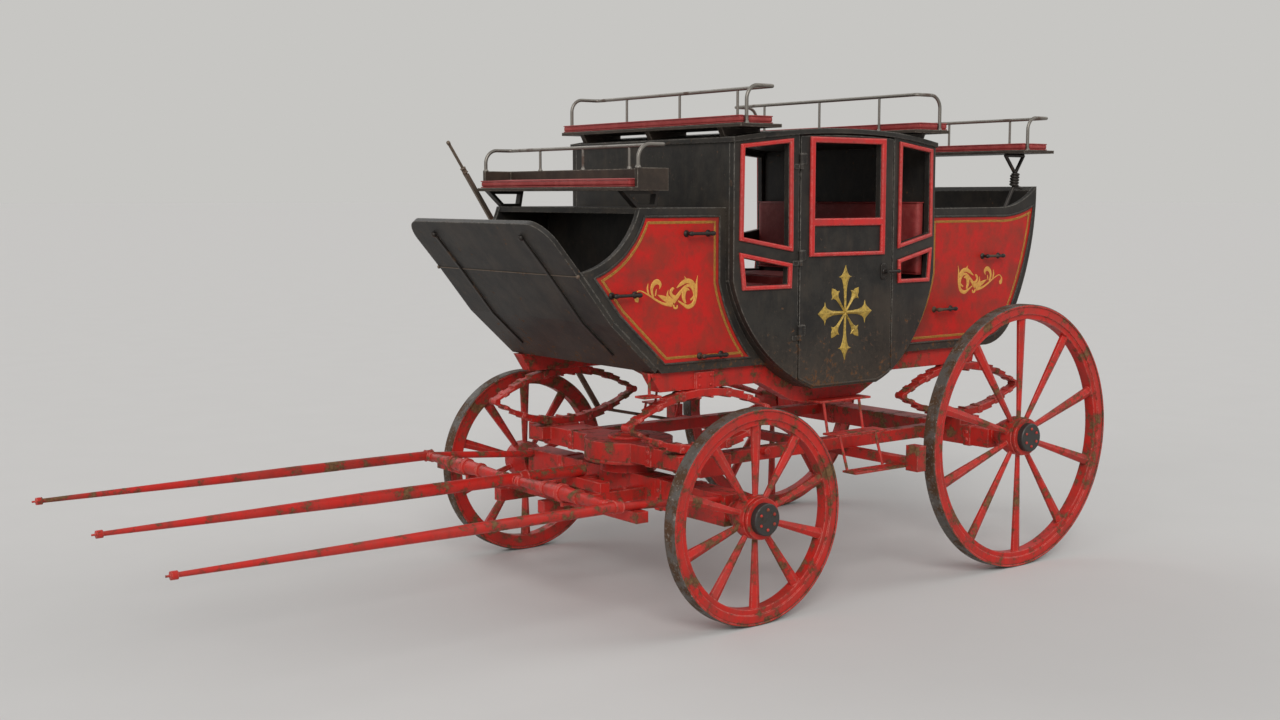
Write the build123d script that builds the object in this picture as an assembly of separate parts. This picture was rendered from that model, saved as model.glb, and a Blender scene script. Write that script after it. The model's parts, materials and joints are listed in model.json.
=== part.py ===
"""Horse-drawn road coach: closed cabin between two boots, roof seats, sprung red undercarriage.

Millimetres. X runs forward along the pole, Y to the coach's left, Z up from the ground. Places along
the coach are measured from the front axle; the finished pieces are moved so that the origin lies on
the ground under the middle of the coach's box.
"""

import os
from math import asin, cos, hypot, sin

from build123d import *

# Wheels and axles
WHEELBASE = 1690.0
FRONT_WHEEL_R = 457.0
REAR_WHEEL_R = 635.0
WHEEL_Y = 876.0
TYRE_WIDTH = 68.0
TYRE_THICK = 12.0
FELLOE_DEPTH = 58.0
FELLOE_WIDTH = 60.0
FELLOE_LIP = 34.0
FELLOE_STEP = 8.0
SPOKE_COUNT = 10
SPOKE_WIDTHS = (22.0, 48.0)
SPOKE_DEPTHS = (22.0, 40.0)
NAVE_R = 92.0
NAVE_BAND = 30.0
NAVE_NECK_R = 62.0
NAVE_INNER = 95.0
NAVE_OUTER = 50.0
COLLAR_R = 88.0
COLLAR_LENGTH = 14.0
CAP_R = 68.0
CAP_LENGTH = 30.0
AXLE_R = 32.0
AXLE_COLLAR_R = 46.0
RUNNING_FIT = 0.05
SEAT_FIT = 0.3

# Cabin
CABIN_X = -742.0
CABIN_HALF_LENGTH = 630.0
CABIN_BEYOND_BOOT = 49.0
DOOR_HALF_LENGTH = 293.0
DOOR_SWELL = 50.0
WALL = 30.0
BELLY_Z = 930.0
BELLY_HALF_FLAT = 200.0
TURN_IN = 138.0
TURN_Z = 1140.0
SHOULDER_Z = 1420.0
ROOF_Z = 2033.0
ROOF_CROWN = 49.0
ROOF_THICK = 22.0
ROOF_OVERHANG = 8.0
# Each quarter window's edge at the cabin's corner, and its edge at the door: distance and height of
# its lower end, then of its upper end
UPPER_WINDOW_CORNER = (26.0, 1593.0, 31.0, 2003.0)
UPPER_WINDOW_DOOR = (38.0, 1542.0, 41.0, 2032.0)
LOWER_WINDOW_CORNER = (43.0, 1379.0, 26.0, 1542.0)
LOWER_WINDOW_DOOR = (44.0, 1381.0, 41.0, 1490.0)
WINDOW_BAR = 18.0
FRAME_PROUD = 12.0
FRAME_BEVEL = 4.0

# Doors
DOOR_SEAM = 8.0
DOOR_FRAME_HALF = 235.0
DOOR_WINDOW_LOW = 1685.0
DOOR_FRAME_LOW = 1517.0
DOOR_FRAME_TOP = 2042.0
DOOR_BAR = 26.0
DOOR_MID_BAR = 34.0
DOOR_LOW_BAR = 17.0
HANDLE_Z = 1439.0
HANDLE_IN = 54.0
LEVER_HANDLE = 82.0
HINGE_HEIGHTS = (1150.0, 1480.0, 1900.0)
HINGE_PIN_R = 5.0
HINGE_KNUCKLE_R = 9.0
HINGE_LENGTH = 66.0
HINGE_LEAF = 36.0
HINGE_LEAF_THICK = 5.0

# Benches inside the cabin
BENCH_Z = 1320.0
BENCH_DEPTH = 330.0
BENCH_BOARD = 22.0
BENCH_CUSHION = 70.0
BACK_CUSHION = 55.0
BACK_CUSHION_Z = (1410.0, 1757.0)

# Boots
BOOT_HALF_WIDTH = 551.0
BOOT_BOARD = 25.0
BOOT_Z = 1043.0
BOOT_BORDER = 36.0
PANEL_RECESS = 8.0
PANEL_THICK = 6.0
FRONT_BOOT_TOP = 1735.0
FRONT_BOOT_FRONT = 355.0
FRONT_SWEEP = (78.0, 118.0)
BULKHEAD_X = 86.0
HIND_BOOT_TOP = 1722.0
HIND_BOOT_TIP = (-2192.0, 1832.0)
# Points of the hind boot's edge, each as distance ahead of its tip and height below it
HIND_SWEEP_START = (290.0, 104.0)
HIND_SWEEP_MIDDLE = (130.0, 78.0)
HIND_BACK_MIDDLE = (34.0, 318.0)
HIND_BACK_FOOT = (152.0, 627.0)
HIND_CORNER_MIDDLE = (227.0, 735.0)
HIND_FLOOR_START = 362.0
HIND_PANEL_TIP = (20.0, 94.0)
FOOTBOARD_THICK = 22.0
FOOTBOARD_ROUND = 110.0
FOOTBOARD_LINE = ((274.0, 1047.0), (502.0, 1257.0), (666.0, 1462.0), (845.0, 1672.0))
STRAP_INSET = 199.0
STRAP_WIDTH = 17.0
STRAP_THICK = 6.0
STRAP_REACH = (347.0, 800.0)
HANDLE_LENGTH = 132.0
HANDLE_PROUD = 34.0
HANDLE_R = 7.0
# Grab handles on each boot's side, by height and by distance from the cabin's end or the hind tip
FRONT_HANDLES = ((160.0, 1626.0), (85.0, 1105.0))
FOOT_HANDLE = (438.0, 1379.0)
HIND_HANDLE = (127.0, 1237.0)
TIP_HANDLE = (346.0, 1487.0)

# Outside seats
SEAT_OVERHANG = 14.0
SEAT_DEPTH = 232.0
SEAT_BOARD = 15.0
SEAT_CUSHION_DEPTH = 192.0
SEAT_CUSHION = 35.0
CUSHION_INSET = 6.0
CUSHION_SLOT = 2.0
ROOF_SEAT_Z = 2090.0
ROOF_SEAT_AHEAD = 19.0
HIND_SEAT_Z = 2010.0
HIND_SEAT_AHEAD = 247.0
HIND_BRACKET_R = 9.0
HIND_BRACKET_NECK = (90.0, 90.0)
HIND_BRACKET_WAIST = (84.0, 152.0)
HIND_BRACKET_ARMS = (12.0, 152.0)
HIND_BRACKET_HOOK = (62.0, 12.0)
SUPPORT_INSET = 90.0
SUPPORT_WIDTH = 30.0
SUPPORT_SLOPE = 20.0
RAIL_R = 8.0
RAIL_POST_R = 6.0
RAIL_HEIGHT = 160.0
RAIL_INSET = 19.0
RAIL_FOOT = 47.0
RAIL_BACK = 204.0
RAIL_BEND = 60.0
RAIL_CORNER = 22.0
RAIL_POST_SHARES = (-0.63, 0.0, 0.63)
DRIVER_OVERHANG = 45.0
DRIVER_Z = 1820.0
DRIVER_FRONT = 430.0
DRIVER_DEPTH = 190.0
DRIVER_SIDE_DEPTH = 160.0
DRIVER_SIDE_HEIGHT = 78.0
DRIVER_BOARD = 18.0
DRIVER_RAIL_HEIGHT = 96.0
DRIVER_POST_SHARES = (-0.58, 0.0, 0.58)
BRACKET_INSET = 36.0
BRACKET_WIDTH = 36.0
BRACKET_BAR = 13.0

# Undercarriage
SILL_INSET = 21.0
SILL_WIDTH = 65.0
SILL_NOSE = (284.0, 231.0)
SILL_FOOT_IN = 221.0
SILL_SLOPE = (190.0, 18.0)
SILL_EASE = 290.0
SILL_TAIL = (60.0, 85.0)
SILL_Z = 960.0
SILL_DROP_Z = 847.0
SILL_PLATE_THICK = 10.0
SPRING_INSET = 9.0
SPRING_WIDTH = 52.0
SPRING_LEAF = 11.0
SPRING_LEAF_SHARES = (1.0, 0.74, 0.5)
SPRING_PAD = 50.0
SPRING_EYE_R = 16.0
FRONT_SPRING_X = -8.0
FRONT_SPRING_HALF = 403.0
REAR_SPRING_AHEAD = 20.0
REAR_SPRING_HALF = 419.0
REAR_SPRING_SEAT = 37.0
TRANSOM_X = 30.0
TRANSOM_WIDTH = 170.0
TRANSOM_BEYOND_SPRING = 139.0
TRANSOM_DEPTH = 84.0
SPRING_SEAT = (50.0, 110.0, 60.0)
TURNTABLE_R = 204.0
TURNTABLE_GAP = 0.5
TURNTABLE_PLATE = 14.0
TURNTABLE_NECK_R = 130.0
TURNTABLE_RISE = 65.0
KING_PIN_R = 20.0
FRONT_BED_WIDTH = 120.0
FRONT_BED_BELOW = 57.0
FRONT_BED_ABOVE = 78.0
REAR_BED_WIDTH = 140.0
REAR_BED_BELOW = 70.0
REAR_BED_ABOVE = 22.0
BED_SHOULDER = 29.0
PERCH_INSET = 71.0
PERCH_WIDTH = 60.0
PERCH_DEPTH = 56.0
PERCH_UP = 35.0

# Steps and brake
STEP_WIDTH = 322.0
STEP_CLEAR = 2.0
STEP_THICK = 9.0
STEP_ROD_R = 6.5
STEP_ROD_IN = 24.0
TREAD_OUTER_EDGES = (82.0, 187.0, 309.0)
TREAD_DEPTHS = (82.0, 88.0, 82.0)
TREAD_TOPS = (860.0, 719.0, 566.0)
MOUNTING_STEP_X = (255.0, 345.0)
MOUNTING_STEP_IN = 25.0
MOUNTING_STEP_OUT = 42.0
MOUNTING_STEP_Z = 953.0
BRAKE_CLEAR = 83.0
BRAKE_BEAM_SIZE = 44.0
BRAKE_BLOCK = (56.0, 70.0, 116.0)
BRAKE_BLOCK_UP = 2.0
LEVER_TOP = (575.0, 2028.0)
LEVER_FOOT = (-272.0, 725.0)
LEVER_PIVOT_Z = 1250.0
LEVER_KNEE_Z = 1888.0
LEVER_GRIP_R = 7.0
LEVER_WIDTH = 30.0
LEVER_THICK = 16.0
LEVER_CLEAR = 9.0
BRAKE_ROD_R = 8.0

# Draught gear
POLE_Z = 557.0
POLE_TIP_X = 2440.0
POLE_TIP_R = 15.0
POLE_TIP_LENGTH = 24.0
POLE_NECK_R = 9.0
POLE_TAPER = 1100.0
TIP_PIN_R = 4.0
TIP_PIN_LENGTH = 16.0
SHAFT_INSET = 122.0
SHAFT_ROOT_X = 600.0
SHAFT_ROOT_R = 22.0
STAY_R = 16.0
FUTCHELL_Y = 175.0
FUTCHELL_WIDTH = 50.0
FUTCHELL_FRONT = 600.0
FUTCHELL_Z = (430.0, 485.0)
SPLINTER_X = (495.0, 555.0)
SPLINTER_BEYOND_SHAFT = 38.0
SPLINTER_TOP = 530.0
SWINGLETREE_X = 632.0
SWINGLETREE_START = 36.0
SWINGLETREE_CLEAR = 2.0
SWINGLETREE_R = (16.0, 33.0)

# Worked out from the values above
CABIN_FRONT = CABIN_X + CABIN_HALF_LENGTH
CABIN_REAR = CABIN_X - CABIN_HALF_LENGTH
DOOR_FRONT = CABIN_X + DOOR_HALF_LENGTH
DOOR_REAR = CABIN_X - DOOR_HALF_LENGTH
REAR_AXLE_X = -WHEELBASE
FRONT_BED_Z = (FRONT_WHEEL_R - FRONT_BED_BELOW, FRONT_WHEEL_R + FRONT_BED_ABOVE)
REAR_BED_Z = (REAR_WHEEL_R - REAR_BED_BELOW, REAR_WHEEL_R + REAR_BED_ABOVE)
REAR_SPRING_X = REAR_AXLE_X + REAR_SPRING_AHEAD
REAR_SPRING_LOW = REAR_BED_Z[1] + REAR_SPRING_SEAT
TRANSOM_LOW = FRONT_BED_Z[1] + TURNTABLE_RISE
TRANSOM_Z = (TRANSOM_LOW, TRANSOM_LOW + TRANSOM_DEPTH)
PERCH_FOOT = (
    (REAR_AXLE_X + REAR_BED_WIDTH / 2, REAR_BED_Z[0] + PERCH_UP),
    (TRANSOM_X - TRANSOM_WIDTH / 2, TRANSOM_Z[0]),
)
BRAKE_BEAM_X = REAR_AXLE_X + REAR_WHEEL_R + BRAKE_CLEAR
STEP_REAR = BRAKE_BEAM_X + BRAKE_BEAM_SIZE / 2 + STEP_CLEAR
STEP_X = (STEP_REAR, STEP_REAR + STEP_WIDTH)
ROOF_SEAT_FRONT = CABIN_FRONT + ROOF_SEAT_AHEAD
CABIN_HALF_WIDTH = BOOT_HALF_WIDTH + CABIN_BEYOND_BOOT
DOOR_PLANE_Y = CABIN_HALF_WIDTH + DOOR_SWELL
SEAT_HALF_WIDTH = DOOR_PLANE_Y + SEAT_OVERHANG
SUPPORT_Y = CABIN_HALF_WIDTH - SUPPORT_INSET
HIND_SEAT_FRONT = HIND_BOOT_TIP[0] + HIND_SEAT_AHEAD
DRIVER_HALF_WIDTH = BOOT_HALF_WIDTH + DRIVER_OVERHANG
BRACKET_Y = BOOT_HALF_WIDTH - BRACKET_INSET
STRAP_Y = BOOT_HALF_WIDTH - STRAP_INSET
SILL_Y = BOOT_HALF_WIDTH - SILL_INSET
SPRING_Y = SILL_Y - SPRING_INSET
PERCH_Y = SPRING_Y - PERCH_INSET
TRANSOM_HALF = SPRING_Y + TRANSOM_BEYOND_SPRING
BED_HALF = WHEEL_Y - NAVE_INNER - BED_SHOULDER
SHAFT_Y = WHEEL_Y - SHAFT_INSET
SPLINTER_HALF = SHAFT_Y + SPLINTER_BEYOND_SHAFT
SWINGLETREE_Y = (SWINGLETREE_START, SHAFT_Y - SHAFT_ROOT_R - SWINGLETREE_CLEAR)
ORIGIN_X = (POLE_TIP_X + REAR_AXLE_X - REAR_WHEEL_R) / 2
REACH = POLE_TIP_X + WHEELBASE


def outline(*steps):
    """Closed face: a point ends a straight line, a pair of points is an arc's middle and end."""
    edges = []
    here = steps[0]
    for step in steps[1:]:
        if isinstance(step[0], tuple):
            edges.append(ThreePointArc(here, step[0], step[1]))
            here = step[1]
        else:
            edges.append(Line(here, step))
            here = step
    if here != steps[0]:
        edges.append(Line(here, steps[0]))
    return make_face(edges)


def across(face, y_low, y_high):
    """Side view outline (x, z) carried across the coach."""
    return extrude(Plane.XZ.offset(-y_high) * face, y_high - y_low)


def upright(face, z_low, z_high):
    """Plan outline (x, y) carried upwards."""
    return extrude(Plane.XY.offset(z_low) * face, z_high - z_low)


def block(x, y, z):
    """Box between the two values given for each axis."""
    middle = [sum(pair) / 2 for pair in (x, y, z)]
    size = [abs(pair[1] - pair[0]) for pair in (x, y, z)]
    return Pos(*middle) * Box(*size)


def rod(start, end, radius, end_radius=None):
    """Round bar between two points, tapered where a second radius is given."""
    run = Vector(*end) - Vector(*start)
    place = Plane(origin=start, z_dir=run)
    stand = (Align.CENTER, Align.CENTER, Align.MIN)
    if end_radius is None:
        return place * Cylinder(radius, run.length, align=stand)
    return place * Cone(radius, end_radius, run.length, align=stand)


def mirrored(solid):
    """The same piece on the coach's other side."""
    return mirror(solid, about=Plane.XZ)


def pair_of(solid):
    """A left piece with its right-hand twin."""
    return [solid, mirrored(solid)]


def end_for_end(solid):
    """A cabin piece turned about the cabin's middle, front to rear."""
    return mirror(solid, about=Plane(origin=(CABIN_X, 0, 0), z_dir=(1, 0, 0)))


def grown(face, amount):
    """Outline moved outward, or inward by a negative amount, with sharp corners kept."""
    return offset(face, amount, kind=Kind.INTERSECTION)


def shifted(points, distance):
    """Open run of points moved sideways to its left, mitred at the bends."""
    normals = []
    for (x0, z0), (x1, z1) in zip(points, points[1:]):
        length = hypot(x1 - x0, z1 - z0)
        normals.append(((z0 - z1) / length, (x1 - x0) / length))
    moved = []
    for i, (x, z) in enumerate(points):
        a = normals[max(i - 1, 0)]
        b = normals[min(i, len(normals) - 1)]
        scale = distance / (1 + a[0] * b[0] + a[1] * b[1])
        moved.append((x + (a[0] + b[0]) * scale, z + (a[1] + b[1]) * scale))
    return moved


def at_x(points, x):
    """Point on an open run of points at one x."""
    for (x0, z0), (x1, z1) in zip(points, points[1:]):
        if x0 <= x <= x1:
            return (x, z0 + (z1 - z0) * (x - x0) / (x1 - x0))
    return points[-1]


def cabin_outline():
    """Side view of the cabin: upright ends, turned under into a boat-shaped belly."""
    turn_front = (CABIN_FRONT - TURN_IN, TURN_Z)
    turn_rear = (CABIN_REAR + TURN_IN, TURN_Z)
    return outline(
        (CABIN_X + BELLY_HALF_FLAT, BELLY_Z),
        (turn_front, (CABIN_FRONT, SHOULDER_Z)),
        (CABIN_FRONT, ROOF_Z + ROOF_CROWN),
        (CABIN_REAR, ROOF_Z + ROOF_CROWN),
        (CABIN_REAR, SHOULDER_Z),
        (turn_rear, (CABIN_X - BELLY_HALF_FLAT, BELLY_Z)),
    )


def roof_region(edge_z, far_z):
    """Everything between the roof's crowned curve at one level and a level line."""
    front = CABIN_FRONT + ROOF_OVERHANG
    rear = CABIN_REAR - ROOF_OVERHANG
    return outline(
        (front, edge_z), ((CABIN_X, edge_z + ROOF_CROWN), (rear, edge_z)), (rear, far_z), (front, far_z)
    )


def cabin_plan(inset, ends=0.0):
    """Plan of the cabin, widest at the doors, with its sides moved in and its ends moved out."""
    corner = CABIN_HALF_WIDTH - inset
    door = DOOR_PLANE_Y - inset
    front = CABIN_FRONT + ends
    rear = CABIN_REAR - ends
    left = [(front, corner), (DOOR_FRONT, door), (DOOR_REAR, door), (rear, corner)]
    right = [(x, -y) for x, y in reversed(left)]
    return outline(*left, *right)


CABIN = cabin_outline()
CABIN_SOLID = across(CABIN, -REACH, REACH)
ABOVE_CEILING = across(roof_region(ROOF_Z - ROOF_THICK, REACH), -REACH, REACH)
BELOW_ROOF = across(roof_region(ROOF_Z, 0.0), -REACH, REACH)



def quarter_strip(low, high):
    """Upright slab along the front quarter's slanted side, between two distances from its face."""
    ends = ((CABIN_FRONT, CABIN_HALF_WIDTH), (DOOR_FRONT, DOOR_PLANE_Y))
    outer = [(x, y + high) for x, y in ends]
    inner = [(x, y + low) for x, y in reversed(ends)]
    return upright(outline(*outer, *inner), 0, REACH)


def window_face(at_corner, at_door):
    """Outline of one quarter window, held off the cabin's corner and off the door."""
    low_back, corner_low, high_back, corner_high = at_corner
    low_ahead, door_low, high_ahead, door_high = at_door
    return outline(
        (CABIN_FRONT - low_back, corner_low),
        (CABIN_FRONT - high_back, corner_high),
        (DOOR_FRONT + high_ahead, door_high),
        (DOOR_FRONT + low_ahead, door_low),
    )


def bevelled(frame):
    """Window frame with the edges of its outer face eased."""
    outer = frame.faces().sort_by(lambda face: face.normal_at().Y)[-1]
    return chamfer(outer.edges(), FRAME_BEVEL)


def cabin():
    """Closed cabin: four quarters with window frames, end walls, curved floor, crowned roof."""
    seam = DOOR_SEAM / 2
    door_gap = block((DOOR_REAR - seam, DOOR_FRONT + seam), (0, REACH), (0, REACH))
    quarter = (quarter_strip(-WALL, 0) & CABIN_SOLID) - ABOVE_CEILING - door_gap
    frames = []
    for frame in (
        window_face(UPPER_WINDOW_CORNER, UPPER_WINDOW_DOOR),
        window_face(LOWER_WINDOW_CORNER, LOWER_WINDOW_DOOR),
    ):
        opening = grown(frame, -WINDOW_BAR)
        quarter -= across(opening, 0, REACH)
        frames.append(bevelled(across(frame - opening, 0, REACH) & quarter_strip(0, FRAME_PROUD)))
    left = [quarter, end_for_end(quarter)]
    frames += [end_for_end(frame) for frame in frames]
    frames += [mirrored(frame) for frame in frames]

    between = upright(cabin_plan(WALL), 0, REACH)
    front_wall = block((CABIN_FRONT - WALL, CABIN_FRONT), (-REACH, REACH), (SHOULDER_Z, REACH))
    front_wall = (front_wall & between) - ABOVE_CEILING
    shell = across(CABIN - grown(CABIN, -WALL), -REACH, REACH) & between
    floor = shell & block((CABIN_REAR, CABIN_FRONT), (-REACH, REACH), (0, SHOULDER_Z))
    sill_y = DOOR_PLANE_Y - WALL - DOOR_SEAM
    for side in (1, -1):
        floor -= block(
            (DOOR_REAR - seam, DOOR_FRONT + seam), (side * sill_y, side * REACH), (0, REACH)
        )
    roof_face = roof_region(ROOF_Z - ROOF_THICK, REACH) - roof_region(ROOF_Z, REACH)
    roof = across(roof_face, -REACH, REACH) & upright(
        cabin_plan(-ROOF_OVERHANG, ROOF_OVERHANG), 0, REACH
    )
    return {
        "cabin_side_left": left,
        "cabin_side_right": [mirrored(piece) for piece in left],
        "quarter_window_frames": frames,
        "cabin_end_walls": [front_wall, end_for_end(front_wall)],
        "cabin_floor": floor,
        "cabin_roof": roof,
    }


def benches():
    """Two facing benches inside the cabin, with seat and back cushions."""
    room = across(grown(CABIN, -WALL - SEAT_FIT), -REACH, REACH)
    room = room & upright(cabin_plan(WALL + SEAT_FIT), 0, REACH)
    wall = CABIN_FRONT - WALL
    edge = wall - BENCH_DEPTH
    half = CABIN_HALF_WIDTH - WALL - SEAT_FIT
    board = block((edge, wall), (-half, half), (BENCH_Z - BENCH_BOARD, BENCH_Z))
    riser = block((edge, edge + BENCH_BOARD), (-half, half), (0, BENCH_Z))
    bench = (board + riser) & room
    seat = block(
        (edge, wall - SEAT_FIT), (-half, half), (BENCH_Z + SEAT_FIT, BENCH_Z + BENCH_CUSHION)
    )
    back = block((wall - BACK_CUSHION, wall - SEAT_FIT), (-half, half), BACK_CUSHION_Z)
    cushions = [seat & room, back & room]
    return {
        "inside_benches": [bench, end_for_end(bench)],
        "inside_cushions": cushions + [end_for_end(cushion) for cushion in cushions],
    }


def doors():
    """Side doors hung on their front edge, each with a window frame, a handle and three hinges."""
    seam = DOOR_SEAM / 2
    front = DOOR_FRONT - seam
    rear = DOOR_REAR + seam
    leaf = block((rear, front), (DOOR_PLANE_Y - WALL, DOOR_PLANE_Y), (0, REACH))
    leaf = (leaf & CABIN_SOLID) - Pos(0, 0, -DOOR_SEAM) * ABOVE_CEILING
    inner = DOOR_FRAME_HALF - DOOR_BAR
    window_z = (DOOR_WINDOW_LOW, DOOR_FRAME_TOP - DOOR_BAR)
    panel_z = (DOOR_FRAME_LOW + DOOR_LOW_BAR, DOOR_WINDOW_LOW - DOOR_MID_BAR)
    span = (CABIN_X - inner, CABIN_X + inner)
    through = (DOOR_PLANE_Y - 2 * WALL, DOOR_PLANE_Y + 2 * FRAME_PROUD)
    leaf -= block(span, through, window_z)
    frame_y = (DOOR_PLANE_Y, DOOR_PLANE_Y + FRAME_PROUD)
    frame = block(
        (CABIN_X - DOOR_FRAME_HALF, CABIN_X + DOOR_FRAME_HALF),
        frame_y,
        (DOOR_FRAME_LOW, DOOR_FRAME_TOP),
    )
    frame = bevelled(frame - block(span, through, window_z) - block(span, through, panel_z))

    hinge_y = DOOR_PLANE_Y + HINGE_KNUCKLE_R + SEAT_FIT
    plate = (0, HINGE_LEAF_THICK)
    pins = []
    for z in HINGE_HEIGHTS:
        split = z + HINGE_LENGTH / 3
        top = z + HINGE_LENGTH
        bore = rod((DOOR_FRONT, hinge_y, z), (DOOR_FRONT, hinge_y, top), HINGE_PIN_R + RUNNING_FIT)
        knuckle_low = split + SEAT_FIT
        knuckle = rod((DOOR_FRONT, hinge_y, knuckle_low), (DOOR_FRONT, hinge_y, top), HINGE_KNUCKLE_R)
        flap = block(
            (DOOR_FRONT - HINGE_LEAF, DOOR_FRONT - HINGE_KNUCKLE_R / 2),
            (DOOR_PLANE_Y, DOOR_PLANE_Y + HINGE_LEAF_THICK),
            (knuckle_low, top),
        )
        leaf = leaf + ((knuckle + flap) - bore)
        pin = rod((DOOR_FRONT, hinge_y, z), (DOOR_FRONT, hinge_y, top), HINGE_PIN_R)
        pin += rod((DOOR_FRONT, hinge_y, z), (DOOR_FRONT, hinge_y, split), HINGE_KNUCKLE_R)
        flap = block(
            (DOOR_FRONT + HINGE_KNUCKLE_R / 2, DOOR_FRONT + HINGE_LEAF), (0, REACH), (z, split)
        )
        pins.append(pin + (flap & quarter_strip(*plate)))

    grip = (rear + HANDLE_IN, HANDLE_Z)
    out = DOOR_PLANE_Y + HANDLE_PROUD
    handle = rod((grip[0], DOOR_PLANE_Y, grip[1]), (grip[0], DOOR_PLANE_Y + 6, grip[1]), 2.4 * HANDLE_R)
    handle += rod((grip[0], DOOR_PLANE_Y, grip[1]), (grip[0], out, grip[1]), HANDLE_R)
    handle += rod(
        (grip[0] + HANDLE_R, out - HANDLE_R, grip[1]),
        (grip[0] - LEVER_HANDLE, out - HANDLE_R, grip[1]),
        HANDLE_R,
    )
    return {
        "door_left": leaf,
        "door_right": mirrored(leaf),
        "door_frame_left": frame,
        "door_frame_right": mirrored(frame),
        "door_handle_left": handle,
        "door_handle_right": mirrored(handle),
        "door_hinge_pins": pins + [mirrored(pin) for pin in pins],
    }


def boot_side(side_face, panel_face):
    """One boot side, recessed for its red panel, and that panel, both on the left."""
    floor_y = BOOT_HALF_WIDTH - PANEL_RECESS
    side = across(side_face, BOOT_HALF_WIDTH - BOOT_BOARD, BOOT_HALF_WIDTH)
    side -= across(panel_face, floor_y, REACH)
    panel = across(panel_face, floor_y, floor_y + PANEL_THICK)
    return side, panel


def off_tip(place):
    """Point of the hind boot from its distance ahead of the tip and its height below it."""
    return (HIND_BOOT_TIP[0] + place[0], HIND_BOOT_TIP[1] - place[1])


def hind_boot_outline():
    """Side view of the hind boot: level top swept up to the tip, bowed back, rounded lower corner."""
    return outline(
        (CABIN_X, HIND_BOOT_TOP),
        off_tip(HIND_SWEEP_START),
        (off_tip(HIND_SWEEP_MIDDLE), HIND_BOOT_TIP),
        (off_tip(HIND_BACK_MIDDLE), off_tip(HIND_BACK_FOOT)),
        (off_tip(HIND_CORNER_MIDDLE), (HIND_BOOT_TIP[0] + HIND_FLOOR_START, BOOT_Z)),
        (CABIN_X, BOOT_Z),
    )


def hind_panel_outline():
    """Red panel of the hind boot, a border's width inside that outline."""
    top = HIND_BOOT_TOP - BOOT_BORDER
    low = BOOT_Z + BOOT_BORDER
    step = 0.83 * BOOT_BORDER
    middle = off_tip(HIND_BACK_MIDDLE)
    foot = off_tip(HIND_BACK_FOOT)
    corner = off_tip(HIND_CORNER_MIDDLE)
    return outline(
        (CABIN_X, top),
        (off_tip(HIND_SWEEP_START)[0], top),
        ((off_tip(HIND_SWEEP_MIDDLE)[0], top + step / 2), off_tip(HIND_PANEL_TIP)),
        ((middle[0] + step, middle[1]), (foot[0] + step, foot[1] + step / 2)),
        (
            (corner[0] + 0.75 * step, corner[1] + 0.9 * step),
            (HIND_BOOT_TIP[0] + HIND_FLOOR_START, low),
        ),
        (CABIN_X, low),
    )


def boots():
    """Front boot under the driver with its footboard, and the open hind boot behind the cabin."""
    foot_inner = shifted(FOOTBOARD_LINE, FOOTBOARD_THICK)
    crease = foot_inner[2]
    toe = foot_inner[0]
    front_face = outline(
        (CABIN_X, FRONT_BOOT_TOP),
        (FRONT_BOOT_FRONT, FRONT_BOOT_TOP),
        ((FRONT_BOOT_FRONT + FRONT_SWEEP[0], crease[1] + FRONT_SWEEP[1]), crease),
        foot_inner[1],
        toe,
        (toe[0] - (toe[1] - BOOT_Z), BOOT_Z),
        (CABIN_X, BOOT_Z),
    )
    hind_face = hind_boot_outline()
    front_face = front_face - CABIN
    front_side, front_panel = boot_side(front_face, grown(front_face, -BOOT_BORDER))
    hind_panel_face = hind_panel_outline() - grown(CABIN, BOOT_BORDER)
    hind_side, hind_panel = boot_side(hind_face - CABIN, hind_panel_face)

    inside = (BOOT_BOARD - BOOT_HALF_WIDTH, BOOT_HALF_WIDTH - BOOT_BOARD)
    deck = block((CABIN_FRONT, FRONT_BOOT_FRONT), inside, (FRONT_BOOT_TOP - BOOT_BOARD, FRONT_BOOT_TOP))
    floor_x = (CABIN_X, toe[0] - (toe[1] - BOOT_Z))
    floor = block(floor_x, inside, (BOOT_Z, BOOT_Z + BOOT_BOARD)) - CABIN_SOLID
    bulkhead = block(
        (BULKHEAD_X - BOOT_BOARD, BULKHEAD_X),
        inside,
        (BOOT_Z + BOOT_BOARD, FRONT_BOOT_TOP - BOOT_BOARD),
    )
    board_face = outline(*FOOTBOARD_LINE, *reversed(foot_inner))
    footboard = across(board_face, -BOOT_HALF_WIDTH, BOOT_HALF_WIDTH)
    short = footboard.edges().filter_by(lambda edge: edge.length < 2 * FOOTBOARD_THICK)
    footboard = fillet(short.sort_by(Axis.Z)[-2:], FOOTBOARD_ROUND)

    low, high = STRAP_REACH
    run = [at_x(FOOTBOARD_LINE, low), *FOOTBOARD_LINE[1:3], at_x(FOOTBOARD_LINE, high)]
    strap_face = outline(*run, *reversed(shifted(run, -STRAP_THICK)))
    strap = across(strap_face, STRAP_Y - STRAP_WIDTH / 2, STRAP_Y + STRAP_WIDTH / 2)

    back_face = hind_face - Pos(BOOT_BOARD, BOOT_BOARD) * hind_face - CABIN
    return {
        "boot_sides": pair_of(front_side) + pair_of(hind_side),
        "boot_panels": pair_of(front_panel) + pair_of(hind_panel),
        "front_boot_boards": [deck, floor, bulkhead],
        "footboard": [footboard, *pair_of(strap)],
        "hind_boot_back": across(back_face, *inside),
    }


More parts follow.
